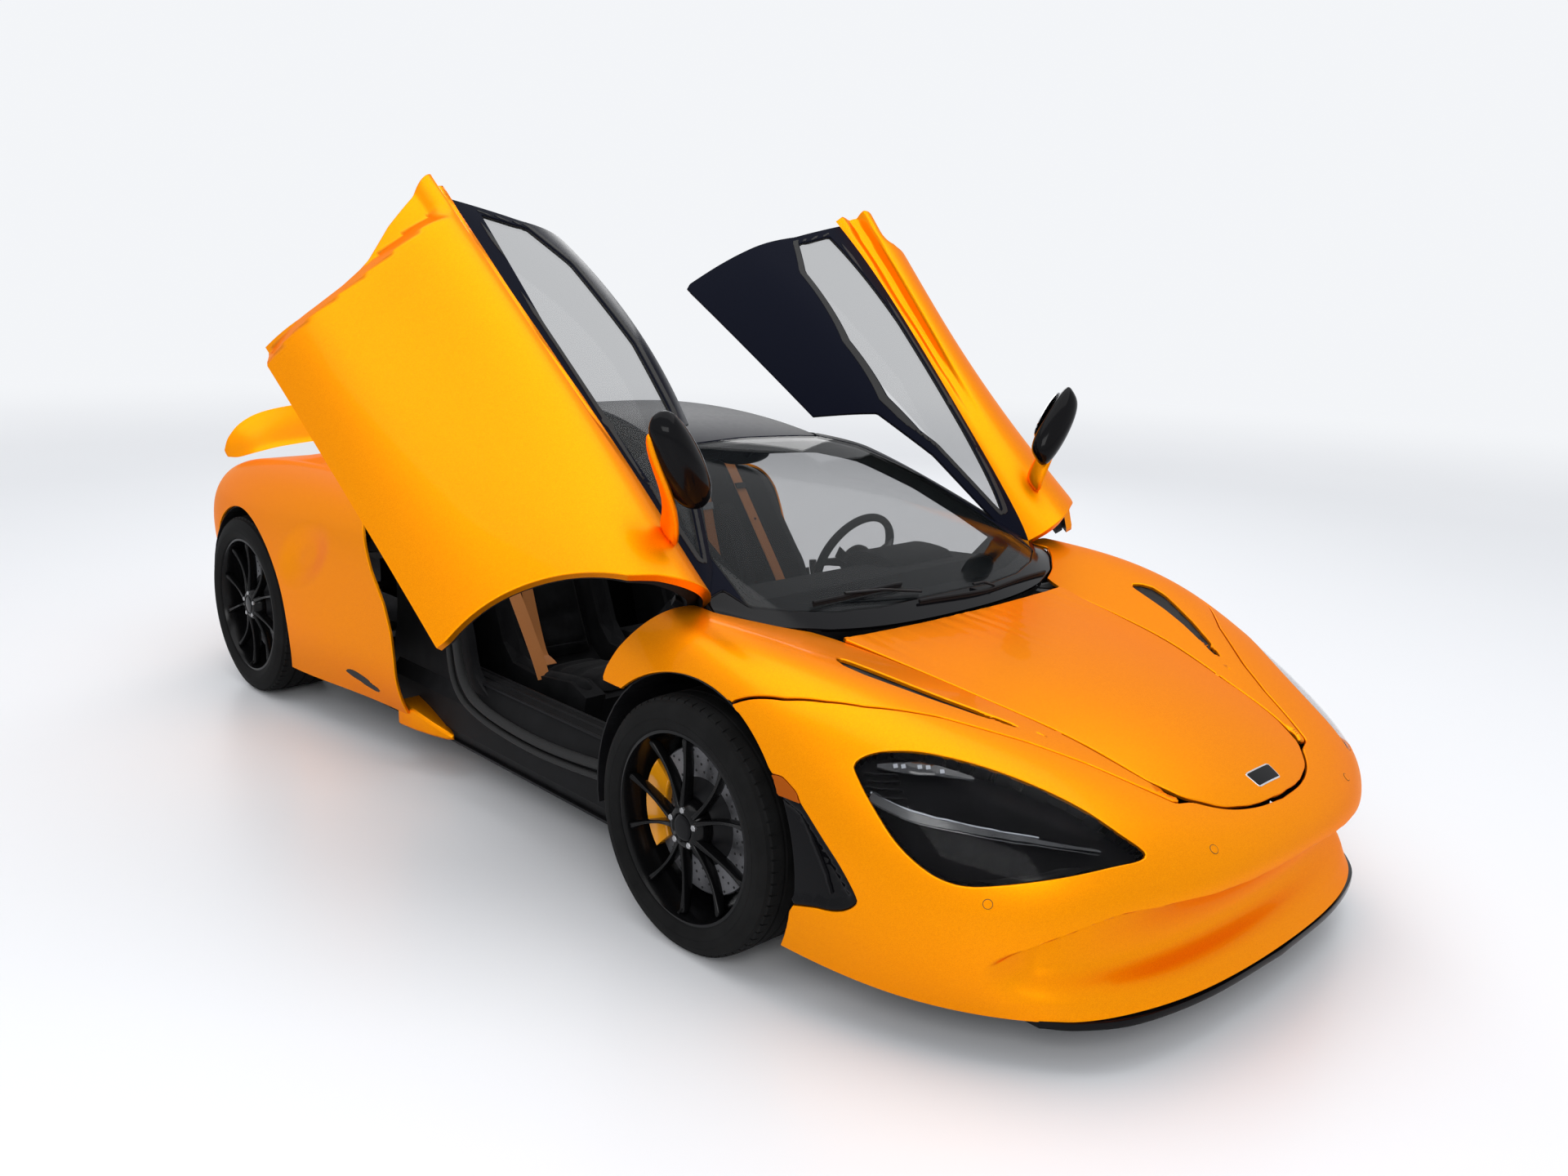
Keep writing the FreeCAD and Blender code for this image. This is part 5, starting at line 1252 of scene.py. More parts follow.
def spokeRings(hub, outward, rim, face, angle, lean):
    rings = []
    for share in np.linspace(0, 1, 9):
        radius = 40 + (rim - 8 - 40) * share
        turn = angle + lean * (wheelLook["rootLean"] + (math.pi / wheelLook["spokes"] - wheelLook["rootLean"])
                               * share ** 0.8)
        radial = np.array([math.cos(turn), 0, math.sin(turn)])
        side = np.array([-math.sin(turn), 0, math.cos(turn)])
        half = 13.5 - 7.5 * math.sin(math.pi * min(share * 0.75 + 0.1, 1)) + 3 * max(0, share - 0.85) / 0.15
        top = face - 3 - 16 * math.sin(math.pi * share * 0.9) ** 1.2 + 3 * share
        deep = top - (40 - 12 * share)
        section = ((-1, deep), (-0.9, top - 8), (-0.62, top - 1.5), (-0.3, top), (-0.12, top - 2.6),
                   (0.12, top - 2.6),
                   (0.3, top), (0.62, top - 1.5), (0.9, top - 8), (1, deep))
        rings.append([np.array(hub) + radial * radius + side * (half * s) + np.array([0, outward * y, 0])
                      for s, y in section])
    return rings


def makeWheel(corner, hub, outward, body):
    look = wheelLook["front" if corner[0] == "f" else "rear"]
    half, rim = look["width"] / 2, look["rim"]
    face = half - 14
    place = half - wheelLook["discInset"]
    thick = wheelLook["discThickness"]
    hub = tuple(hub)
    barrel = spin([(half - 12, rim + 4.5), (half - 11, rim - 3), (half - 20, rim - 7), (half - 30, rim - 9),
                   (half - 60, rim - 17), (-half + 50, rim - 24), (-half + 26, rim - 14), (-half + 15, rim - 8),
                   (-half + 14, rim + 4), (-half + 17, rim + 4), (-half + 19, rim - 1), (half - 19, rim - 1),
                   (half - 17, rim + 4.5)], hub, outward, wheelLook["sides"])
    solidObject("rim_" + corner, barrel, wheelBlack, body, "wheel_black", angle=32)
    blades = []
    for k in range(wheelLook["spokes"]):
        angle = 2 * math.pi * (k // 2 + 0.5) / (wheelLook["spokes"] // 2)
        blades.append(loft(spokeRings(hub, outward, rim, face, angle, -1 if k % 2 else 1)))
    centre = spin([(face - 52, 30), (face - 52, 66), (face - 24, 64), (face - 10, 54), (face - 5, 46),
                   (face - 4, 38),
                   (face - 9, 34), (face - 9, 30)], hub, outward, 64)
    solidObject("spokes_" + corner, together(blades), wheelBlack, body, "wheel_black", ["wheel_" + corner],
                levels=1,
                angle=70)
    solidObject("wheelCentre_" + corner, centre, wheelBlack, body, "wheel_black", angle=40)
    cap = spin([(face - 14, 0), (face - 14, 33), (face - 6, 32.5), (face - 3.4, 29), (face - 2.6, 24),
                (face - 2.2, 0)], hub, outward, 48, closed=False)
    solidObject("wheelCap_" + corner, cap, blackGloss, body, "black_gloss", angle=40, weld=0.5)
    repeated("wheelBolts_" + corner, discShape(8.5, 12, 6, 1.6),
             ringPlaces(hub, outward, 46, face - 14, 5, 0.5),
             castMetal, body)
    disc = spin([(place, look["disc"] - 3), (place - 2, look["disc"]), (place - 12, look["disc"]),
                 (place - 12, look["disc"] - 10), (place - thick + 12, look["disc"] - 10),
                 (place - thick + 12, look["disc"]), (place - thick + 2, look["disc"]),
                 (place - thick, look["disc"] - 3),
                 (place - thick, 112), (place, 112)], hub, outward, 96)
    solidObject("brakeDisc_" + corner, disc, discMetal, body, "cast_metal", angle=30)
    bell = spin([(place - thick - 1, 0), (place - thick - 1, 60), (place - thick + 8, 118), (place - 3, 118),
                 (place + 6, 96), (place + 30, 74), (face - 50, 62), (face - 50, 0)], hub, outward, 64,
                 closed=False)
    solidObject("discBell_" + corner, bell, satinBlack, body, "cast_metal", angle=30, weld=0.5)
    # the drilled holes are thin black discs on the disc face: painted shade where the open holes are
    places = []
    for ring, radius in enumerate((128, 146, 164, 180)):
        places += ringPlaces(hub, outward, radius, place - 0.4, wheelLook["holes"], 0.33 * ring)
    repeated("discHoles_" + corner, discShape(3.6, 0.9, 10, 0.1), places, sealBlack, body)
    valve = tube([np.array(hub) + [0, outward * (half - 26 + s), -(rim - 24 + s * 0.4)] for s in (0, 8, 16)],
                 3.2, 10)
    solidObject("valve_" + corner, valve, rubber, body, "tyre")


def makeTyre(corner, hub, outward, body, radius):
    look = wheelLook["front" if corner[0] == "f" else "rear"]
    half, rim = look["width"] / 2, look["rim"] + 0.4
    base = radius - tyreLook["tread"]
    wide = half / 122.5
    profile = [(-half + 18, rim), (-half + 8, rim + 8), (-half + 1, rim + 26), (-half + 0.5, rim + 42),
               (-half + 4, rim + 58), (-half + 13, base - 6), (-half + 24, base - 1.5)]
    edges = sorted(g * wide for g in tyreLook["grooves"])
    left = -half + 44
    for groove in edges:
        profile += [(left, radius - 0.6 if left < -half + 60 else radius), (groove - 5, radius),
                    (groove - 3.5, base),
                    (groove + 3.5, base)]
        left = groove + 5
    profile += [(left, radius), (half - 44, radius - 0.6), (half - 24, base - 1.5), (half - 13, base - 6),
                (half - 4, rim + 58), (half - 0.5, rim + 42), (half - 1, rim + 26), (half - 8, rim + 8),
                (half - 19, rim)]
    profile[7] = (-half + 46, base)
    profile.insert(8, (-half + 48, radius - 0.4))
    part = spin(profile, tuple(hub), outward, tyreLook["sides"])
    solidObject("tyreBody_" + corner, part, rubber, body, "tyre", ["tyre_" + corner], angle=28)
    size = 2 * math.pi * radius / tyreLook["blocks"]
    across = 25
    shape = loft([[(-across / 2, -size * 0.42, -7), (across / 2, -size * 0.42, -9),
                   (across / 2, size * 0.42, -9),
                   (-across / 2, size * 0.42, -7)],
                  [(-across / 2, -size * 0.40, -0.5), (across / 2 - 3, -size * 0.40, -3.2),
                   (across / 2 - 3, size * 0.40, -3.2), (-across / 2, size * 0.40, -0.5)]])
    for name, sign in (("Outer", 1), ("Inner", -1)):
        places = rimPlaces(hub, outward * sign, radius, half - 34, tyreLook["blocks"], 0.25 * (sign + 1))
        repeated("treadBlocks" + name + "_" + corner, shape, places, rubber, body)
    rings = []
    for ring, (y, r) in enumerate(((half - 0.6, rim + 34), (half - 3.4, rim + 54))):
        rings.append(spin([(y - 1.5, r - 1.6), (y + 0.5, r), (y - 1.5, r + 1.6)], tuple(hub), outward, 96))
    solidObject("tyreRidges_" + corner, together(rings), rubber, body, "tyre")


def caliperPart(corner, hub, outward, toward):
    look = wheelLook["front" if corner[0] == "f" else "rear"]
    place = look["width"] / 2 - wheelLook["discInset"]
    rows = []
    for y, grow in ((place + 19, -7), (place + 21, -3), (place + 17, 0), (place + 9, 0), (place + 8, -0.5),
                    (place - wheelLook["discThickness"] - 8, -0.5), (place - wheelLook["discThickness"] - 9, 0),
                    (place - wheelLook["discThickness"] - 26, 0),
                    (place - wheelLook["discThickness"] - 30, -5)):
        ring = []
        for turn in np.linspace(-36, 36, 15):
            ring.append((look["disc"] + 18 + grow - 6 * (abs(turn) / 36) ** 3, turn))
        for turn in np.linspace(33, -33, 11):
            waist = 10 * math.cos(math.radians(turn * 2.4))
            ring.append((look["disc"] - 52 - grow - waist, turn))
        rows.append([(hub.x + toward * r * math.cos(math.radians(t)), hub.y + outward * y,
                      hub.z + r * math.sin(math.radians(t))) for r, t in ring])
    return loft(rows)


def makeBrakes():
    for side, outward, knuckle in (("l", 1, "left_knuckle"), ("r", -1, "right_knuckle")):
        hub = centreOf("tyre_f" + side)
        part = caliperPart("f" + side, hub, outward, -1)
        solidObject("caliperBody_f" + side, part, caliperPaint, knuckle, "caliper_paint", ["caliper_f" + side],
                    bevel=2, angle=50)
    parts = []
    for side, outward in (("l", 1), ("r", -1)):
        parts.append(caliperPart("r" + side, centreOf("tyre_r" + side), outward, 1))
    solidObject("caliperBodiesRear", together(parts), caliperPaint, "root", "caliper_paint", ["calipers_rear"],
                bevel=2, angle=50)


for corner, body in (("fl", "front_left_wheel"), ("fr", "front_right_wheel"), ("rl", "rear_left_wheel"),
                     ("rr", "rear_right_wheel")):
    outward = 1 if corner[1] == "l" else -1
    low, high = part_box("tyre_" + corner)
    makeWheel(corner, centreOf("tyre_" + corner), outward, body)
    makeTyre(corner, centreOf("tyre_" + corner), outward, body, (high.x - low.x) / 2 / mm)
makeBrakes()
print("wheels ready")


# Lamps, side blades and small fittings of the front


def placesOn(points, depth=0.0, sheet=None):
    # the nearest places of a body surface to some points, moved in by a depth, with the outward directions
    sheet = sheet or flank
    cloud, normals = onSheet(sheet, sheet["params"])
    found, away = [], []
    for point in points:
        near = np.argmin(((cloud - np.array(point, float)) ** 2).sum(1))
        found.append(cloud[near] - normals[near] * depth)
        away.append(normals[near])
    return np.array(found), np.array(away)


def strip(path, width, height, depth, sheet=None):
    # a flat bar that follows a body surface
    centre, away = placesOn(curved(path, 6), depth, sheet)
    centre = np.stack([evened(c) for c in centre.T], 1)
    away = unit(np.stack([evened(c) for c in away.T], 1))
    along = unit(np.gradient(centre, axis=0))
    side = unit(np.cross(along, away))
    widths = np.interp(np.linspace(0, 1, len(centre)), np.linspace(0, 1, len(width)), width)
    rings = []
    for p, s, a, w in zip(centre, side, away, widths):
        rings.append([p + s * (w / 2 * x) + a * (height * h)
                      for x, h in ((-1, 0), (-1, 0.6), (-0.7, 1), (0.7, 1), (1, 0.6), (1, 0))])
    return loft(rings)


lampLook = {"depth": 46, "fins": 5, "bar": [(1676, 862, 560), (1780, 822, 535), (1900, 735, 515),
                                            (2000, 648, 500),
                                            (2092, 556, 488)],
            "brow": [(1672, 838, 628), (1740, 765, 632), (1850, 672, 606)],
            "fin": [(1935, 812, 436), (2010, 752, 446), (2072, 680, 466), (2110, 600, 480)]}


def makeHeadlamps():
    look = lampLook
    dish = cutPanel(flank, inset(lampShape, -9), near=look["depth"] - 3, thickness=3, rounding=1)
    panelObject("lampDish", bothSides(dish), [lampBlack], replaces=["headlamps"])
    wall = cutPanel(flank, within(inset(lampShape, -7), outOf(inset(lampShape, 0.6))), near=7,
                    thickness=look["depth"] - 7, rounding=2, wall=look["depth"] - 7)
    panelObject("lampWall", bothSides(wall), [lampBlack])
    solidObject("lampBar", pairOf(strip(look["bar"], (27, 25, 20, 13, 6), 12, 30)), lampLens,
                slot="black_gloss")
    solidObject("lampGlow", pairOf(strip([(x, y, z + 12) for x, y, z in look["bar"][:-1]], (5, 5, 4, 3), 5,
                                         24)),
                ledLight, slot="glass")
    solidObject("lampBarEdge", pairOf(strip([(x, y, z - 12) for x, y, z in look["bar"]], (3, 3, 3, 2), 7, 26)),
                lampLens, slot="glass")
    solidObject("lampBrow", pairOf(strip(look["brow"], (10, 36, 8), 8, 26)), lampLens, slot="black_gloss")
    solidObject("lampFin", pairOf(strip(look["fin"], (2, 22, 26, 4), 6, 30)), blackGloss, slot="black_gloss")
    cells = []
    for share in np.linspace(0.28, 0.72, 5):
        x, y, z = np.array(curved(look["brow"], 12))[int(share * 24)]
        found, away = placesOn([(x, y, z)], 17)
        for sign in (1, -1):
            cells.append((found[0] * [1, sign, 1], away[0] * [1, sign, 1], (1, 0, 0)))
    repeated("lampCells", discShape(7, 2, 4, 0.6), cells, ledLight)
    fins = []
    for k in range(look["fins"]):
        rise = 18 * k
        fins.append(strip([(1652 + rise * 0.35, 858 - rise * 0.1, 612 - rise),
                           (1690 + rise * 0.4, 826, 612 - rise),
                           (1722 + rise * 0.4, 796, 612 - rise)], (3, 3, 2), 16, 36))
    solidObject("lampFins", pairOf(together(fins)), satinBlack, slot="black_gloss")
    lens = cutPanel(flank, inset(lampShape, 1), near=1.2, thickness=2.5, rounding=1.6, wall=2.5)
    panelObject("lampCover", bothSides(lens), [lampGlass])


def makeBlades():
    blade = cutPanel(flank, within(inset(bladeShape, 0.8), outOf(frontArch)), near=3.5, thickness=16,
                     rounding=4,
                     relief=lambda points: 9 * smoothStep(-bladeShape(points), 10, 26))
    panelObject("bladeSkin", bothSides(blade), [blackGloss], replaces=["side_blades"])
    fin = [(fore(396), 930, 496), (fore(432), 930, 440), (fore(470), 930, 380), (fore(492), 930, 330)]
    solidObject("bladeFins", pairOf(strip(fin, (4, 9, 9, 4), 9, 14)), satinBlack, slot="black_gloss")
    marker = cutPanel(flank, inset(markerShape, 0.4), near=0.6, thickness=8, rounding=2)
    panelObject("markerLamps", bothSides(marker), [amber])
    red = cutPanel(flank, within(inset(tailLampShape, 1), behind(aft(-300))), near=1, thickness=8, rounding=2)
    panelObject("tailLampLenses", bothSides(red), [redLens], replaces=["tail_lamps"])


def makeFittings():
    spots = [(1969, 797, 391), (2213, 329, 461)]
    centres, away = placesOn(spots)
    places = [(c * [1, s, 1], a * [1, s, 1], (0, 0, 1)) for c, a in zip(centres, away) for s in (1, -1)]
    repeated("sensorRings", discShape(11, 0.5, 28, 0.3), places, sealBlack)
    repeated("sensors", discShape(9.6, 1.1, 28, 0.4), places, paint)
    plateShape = within(inPlan([(noseX - 150, -300), (noseX - 150, 56), (noseX - 110, 52),
                                (noseX - 110, -300)]))
    rim = cutPanel(lidSheet, plateShape, near=-1.6, thickness=3, rounding=1.2, symmetric=True)
    panelObject("noseplateRim", bothSides(rim), [chrome], body="lid")
    face = cutPanel(lidSheet, inset(plateShape, 3.5), near=-2.4, thickness=3, rounding=0.8, symmetric=True)
    panelObject("noseplate", bothSides(face), [blackGloss], body="lid")


makeHeadlamps()
makeBlades()
makeFittings()
print("lamps ready")


# Cabin: seats, belts, dashboard, steering wheel


def at(distance):
    return fore(distance - 1155)


def puffed(obj, frames=12, cap=9.0):
    # soft pads swell under a little pressure, and no point moves further than the cap
    start = np.array([v.co for v in obj.data.vertices])
    cloth = obj.modifiers.new("puff", "CLOTH")
    cloth.settings.use_pressure = True
    cloth.settings.uniform_pressure_force = 4
    cloth.settings.effector_weights.gravity = 0
    cloth.settings.quality = 4
    cloth.collision_settings.use_collision = False
    cloth.point_cache.frame_start = 1
    cloth.point_cache.frame_end = frames
    for frameNumber in range(1, frames + 1):
        bpy.context.scene.frame_set(frameNumber)
    graph = bpy.context.evaluated_depsgraph_get()
    mesh = bpy.data.meshes.new_from_object(obj.evaluated_get(graph))
    end = np.array([v.co for v in mesh.vertices])
    move = end - start
    size = np.linalg.norm(move, axis=1, keepdims=True)
    end = start + move * np.minimum(1, cap * mm / np.maximum(size, 1e-9))
    bpy.data.meshes.remove(mesh)
    obj.modifiers.clear()
    bpy.context.scene.frame_set(1)
    obj.data.vertices.foreach_set("co", end.astype(np.float32).ravel())
    obj.data.update()
    return obj


def padPart(path, halfWidth, thickness, channels, offset, bulge=10.0):
    # a quilted pad along a side-view path, crowned across, its back flat on the shell
    line = np.array(curved(path, 6))
    along = unit(np.gradient(line, axis=0))
    up = np.stack([-along[:, 1], along[:, 0]], 1)
    share = np.linspace(0, 1, len(line))
    columns = np.linspace(-1, 1, 17)
    rows = []
    for p, u, s in zip(line, up, share):
        pinch = 1 - 0.16 * abs(2 * s - 1) ** 6
        ends = min(1, 7 * s, 7 * (1 - s)) ** 0.5
        front, back = [], []
        for c in columns:
            edge = (1 - abs(c) ** 5) ** 0.5 if abs(c) < 1 else 0
            groove = sum(math.exp(-((s - g) / 0.013) ** 2) for g in channels)
            seam = math.exp(-((abs(c) - 0.62) / 0.05) ** 2)
            height = (thickness * edge * ends * (1 - 0.35 * groove) - 4 * seam
                      + bulge * ends * (1 - c * c) * edge)
            front.append((p[0] + u[0] * height, offset + c * halfWidth * pinch, p[1] + u[1] * height))
        for c in columns[-2:0:-1]:
            back.append((p[0] - u[0] * 2, offset + c * halfWidth * pinch, p[1] - u[1] * 2))
        rows.append(front + back)
    return loft(rows)


seatLook = {"offset": 350, "half": 235, "bolster": 75}


def makeSeats():
    look = seatLook
    seatPath = [(at(212), 338), (at(150), 336), (at(-20), 300), (at(-150), 276), (at(-218), 276)]
    backPath = [(at(-262), 318), (at(-305), 345), (at(-350), 450), (at(-395), 570), (at(-425), 650),
                (at(-452), 760)]
    headPath = [(at(-458), 776), (at(-470), 815), (at(-482), 858), (at(-505), 886)]
    middle = look["half"] - look["bolster"]
    pads = {"seatPad": (seatPath, middle - 6, 30, (0.3, 0.55, 0.8), 13),
            "backPad": (backPath, middle - 6, 26, (0.2, 0.4, 0.6, 0.8), 12),
            "headPad": (headPath, 112, 24, (), 10)}
    for name, (path, half, thick, channels, bulge) in pads.items():
        part = padPart(path[::-1], half, thick, channels, look["offset"], bulge)
        pad = solidObject(name + "_l", part, suede, "root", "seat_trim", angle=80)
        puffed(pad)
        copy = bpy.data.objects.new(name + "_r", pad.data.copy())
        points = np.array([v.co for v in copy.data.vertices]) * [1, -1, 1]
        copy.data.vertices.foreach_set("co", points.astype(np.float32).ravel())
        copy.data.flip_normals()
        dress(copy, "root")
    bolsters = []
    outer = [(at(224), 330), (at(150), 372), (at(-60), 352), (at(-190), 362), (at(-255), 430), (at(-340), 640),
             (at(-395), 740)]
    for side in (-1, 1):
        rings = []
        line = np.array(curved(outer, 6))
        along = unit(np.gradient(line, axis=0))
        share = np.linspace(0, 1, len(line))
        for p, a, s in zip(line, along, share):
            inward = np.array([a[1], -a[0]])
            size = 30 * min(1, 8 * s + 0.2, 8 * (1 - s) + 0.2) ** 0.5
            centre = p + inward * -20
            ring = []
            for t in turns(14):
                y = look["offset"] + side * (look["half"] - 38) + 35 * math.cos(t) * min(1, 6 * s + 0.3)
                ring.append((centre[0] - inward[0] * size * math.sin(t), y,
                             centre[1] - inward[1] * size * math.sin(t)))
            rings.append(ring)
        bolsters.append(loft(rings))
    part = together(bolsters)
    for side, shape in (("l", part), ("r", flipped(part))):
        pad = solidObject("bolsters_" + side, shape, suede, "root", "seat_trim", angle=80, levels=1)


beltLook = {"inner": 410, "outer": 456, "line": [(-520, 897), (-478, 884), (-418, 650), (-300, 340),
                                                 (-214, 282)],
            "run": [(-455, 930), (-423, 905), (-300, 745), (-160, 560), (-60, 420), (-15, 345)],
            "outside": 552, "tongueShare": 0.42}


def withOpposite(places):
    # the places and the same ones on the other side of the car
    return places + [((p[0], -p[1], p[2]), facing, along) for p, facing, along in places]


def makeBelts():
    look = beltLook
    line = np.array(curved([(at(x), z) for x, z in look["line"]], 8))
    along = unit(np.gradient(line, axis=0))
    up = np.stack([-along[:, 1], along[:, 0]], 1)
    up *= np.sign(up[:, :1] + 1e-9)
    rings = []
    for p, u in zip(line, up):
        p = p + u * 48
        rings.append([(p[0] + u[0] * h, y, p[1] + u[1] * h)
                      for y, h in ((look["inner"], 0), (look["inner"] + 1, 2.6), (look["outer"] - 1, 2.6),
                                   (look["outer"], 0))])
    solidObject("beltWebbing", pairOf(loft(rings)), beltTan, "root", "belt_tan", ["seat_belts"])
    run = np.array(curved([(at(x), z) for x, z in look["run"]], 6))
    lean = unit(np.gradient(run, axis=0))
    rings = [[(p[0] + n[1] * h, y, p[1] - n[0] * h) for y,
              h in ((look["outside"], 0), (look["outside"] + 46, 0),
                                                               (look["outside"] + 46, 2.6), (look["outside"],
                                                                                             2.6))]
             for p, n in zip(run, lean)]
    solidObject("beltRuns", pairOf(loft(rings)), beltTan, "root", "belt_tan")
    places = []
    for k in (9, 13):
        p, n = run[k], lean[k]
        places.append(((p[0] + n[1] * -4, look["outside"] + 23, p[1] + n[0] * 4), (-n[1], 0, n[0]), (0, 1, 0)))
    repeated("beltClips", loft([[(-27, -13, 0), (27, -13, 0), (27, 13, 0), (-27, 13, 0)],
                                [(-25, -11, 5), (25, -11, 5), (25, 11, 5), (-25, 11, 5)]]),
             withOpposite(places[:1]), satinBlack)
    repeated("beltStuds", discShape(5, 1.5, 16, 0.5), withOpposite(places[1:]), satinBlack)
    k = int(look["tongueShare"] * (len(line) - 1))
    p, u = line[k] + up[k] * 51, up[k]
    tongue = [((p[0], (look["inner"] + look["outer"]) / 2, p[1]), (u[0], 0, u[1]), (0, 1, 0))]
    repeated("beltTongues", loft([[(-27, -14, 0), (27, -14, 0), (27, 14, 0), (-27, 14, 0)],
                                  [(-26, -13, 3), (26, -13, 3), (26, 13, 3), (-26, 13, 3)]]),
             withOpposite(tongue), castMetal)
    buckle = extruded([(at(-250), 300), (at(-232), 300), (at(-222), 372), (at(-240), 376)], 128, 158)
    solidObject("beltBuckles", pairOf(buckle), trimBlack, "root", "trim_black", bevel=4)


wheelPlace = np.array([at(470), 360, 715.0])


def makeSteering():
    tilt = math.radians(22)
    axis = np.array([-math.cos(tilt), 0, math.sin(tilt)])
    right = np.array([0, 1.0, 0])
    up = np.array([math.sin(tilt), 0, math.cos(tilt)])
    rings = []
    for t in turns(72):
        reach = 164 - 12 * max(0, -math.sin(t)) ** 4
        grip = 1 + 0.16 * math.exp(-((abs(math.cos(t)) - 0.9) / 0.12) ** 2)
        radial = right * math.cos(t) + up * math.sin(t)
        rings.append([wheelPlace + radial * (reach + 13 * grip * math.cos(s)) + axis * (15 * math.sin(s))
                      for s in turns(16)])
    rings.append(rings[0])
    solidObject("steeringRim", loft(rings, caps=False), suede, "handwheel", "seat_trim", ["steering_wheel"],
                angle=60)
    arms = []
    for angle in (4, 176, 270):
        radial = right * math.cos(math.radians(angle)) + up * math.sin(math.radians(angle))
        across = np.cross(axis, radial)
        arms.append(loft([[wheelPlace + radial * r + across * (w * a) + axis * (b * 6 - d)
                           for a, b in ((-1, -1), (1, -1), (1, 1), (-1, 1))]
                          for r, w, d in ((40, 24, 4), (90, 15, 8), (130, 12, 4), (158, 14, 0))]))
    solidObject("steeringSpokes", together(arms), satinBlack, "handwheel", "frame_metal", bevel=2)
    hub = []
    for r, d in ((52, -22), (56, -6), (52, 8), (40, 15), (14, 18)):
        hub.append([wheelPlace + (right * math.cos(t) * 1.15 + up * math.sin(t)) * r + axis * d
                    for t in turns(40)])
    solidObject("steeringBoss", loft(hub), trimBlack, "handwheel", "trim_black", angle=40)
    stem = tube([wheelPlace - axis * 150, wheelPlace - axis * 80, wheelPlace - axis * 20], 17, 24)
    solidObject("steeringShaft", stem, castMetal, "handwheel", "cast_metal")
    paddles = []
    for side in (-1, 1):
        start = wheelPlace - axis * 24 + right * (side * 70) + up * 18
        paddles.append(loft([[start + right * (side * a) + up * b - axis * c for a, b, c in
                              ((0, -10, 0), (66, 26, 0), (60, 66, 0), (0, 24, 0))],
                             [start + right * (side * a) + up * b - axis * c for a, b, c in
                              ((0, -10, 5), (66, 26, 5), (60, 66, 5), (0, 24, 5))]]))
    solidObject("steeringPaddles", together(paddles), carbon, "handwheel", "carbon_black", bevel=1.5)


def makeDash():
    brow = curvedLoop([(at(560), 742), (at(620), 786), (at(760), 782), (at(770), 742), (at(640), 735)], 4)
    hood = extruded(brow, 215, 505)
    solidObject("instrumentHood", hood, suede, "root", "trim_black", bevel=5)
    face = extruded([(at(561), 660), (at(567), 660), (at(590), 742), (at(584), 742)], 250, 470)
    solidObject("instrumentScreen", face, blackGloss, "root", "black_gloss", bevel=1.5)
    screen = extruded([(at(575), 560), (at(587), 556), (at(618), 706), (at(606), 710)], -66, 66)
    solidObject("centreScreen", screen, blackGloss, "root", "black_gloss", bevel=3)
    vents = []
    for y in (-540, -190, 190, 540):
        for k in range(5):
            z = 650 + 10 * k
            vents.append(extruded([(at(598), z), (at(606), z - 2), (at(606), z + 1), (at(598), z + 3)],
                                  y - 42, y + 42))
    solidObject("dashVents", together(vents), satinBlack, "root", "trim_black")
    selector = [[(at(60) + r * math.cos(t), r * math.sin(t), z) for t in turns(24)]
                for r, z in ((26, 342), (27, 352), (24, 360), (20, 363))]
    solidObject("driveSelector", loft(selector), castMetal, "root", "cast_metal", angle=40)
    rest = extruded(curvedLoop([(at(-300), 332), (at(-300), 372), (at(-60), 376), (at(-30), 342)], 4), -82, 82)
    armrest = solidObject("armrest", rest, suede, "root", "seat_trim", bevel=10, segments=4)
    glassTop = np.array([at(300), 0, 1092.0])
    head = [[glassTop + [d, 110 * s * math.cos(t), -16 + 30 * s * math.sin(t)]
             for t in turns(32)] for d, s in ((-16, 0.93), (-12, 1), (4, 0.96), (12, 0.7))]
    solidObject("cabinMirror", loft(head), satinBlack, "root", "trim_black", angle=50)
    solidObject("cabinMirrorArm", tube([glassTop + [8, 0, -16], glassTop + [30, 0, 2], glassTop + [46, 0, 4]],
                                       9, 14),
                satinBlack, "root", "trim_black")
    solidObject("cabinMirrorGlass", loft([[glassTop + [-16.5 - d, 101 * math.cos(t), -16 + 25 * math.sin(t)]
                                           for t in turns(32)]
                                          for d in (0, 1)]), chrome, "root", "glass")


sillLook = {"start": fore(-430), "end": fore(-1500), "ridges": ((676, 345), (712, 345), (752, 342)),
            "mat": ((at(230), at(700)), (130, 560), (150, 158))}
sealLook = [{"line": [(-176, 540), (-169, 496), (-125, 357), (-3, 292), (300, 271), (632, 296), (690, 330)],
             "side": 806, "radius": 15},
            {"line": [(-215, 500), (-168, 330), (-22, 262), (300, 240), (650, 264), (700, 280)],
             "side": 812, "radius": 10}]
pillarLook = {"outline": [(-630, 850), (-440, 858), (-330, 720), (-235, 600), (-176, 520), (-130, 372),
                          (-20, 300), (-20, 250), (-630, 250), (-640, 500)], "inner": 736, "outer": 768}


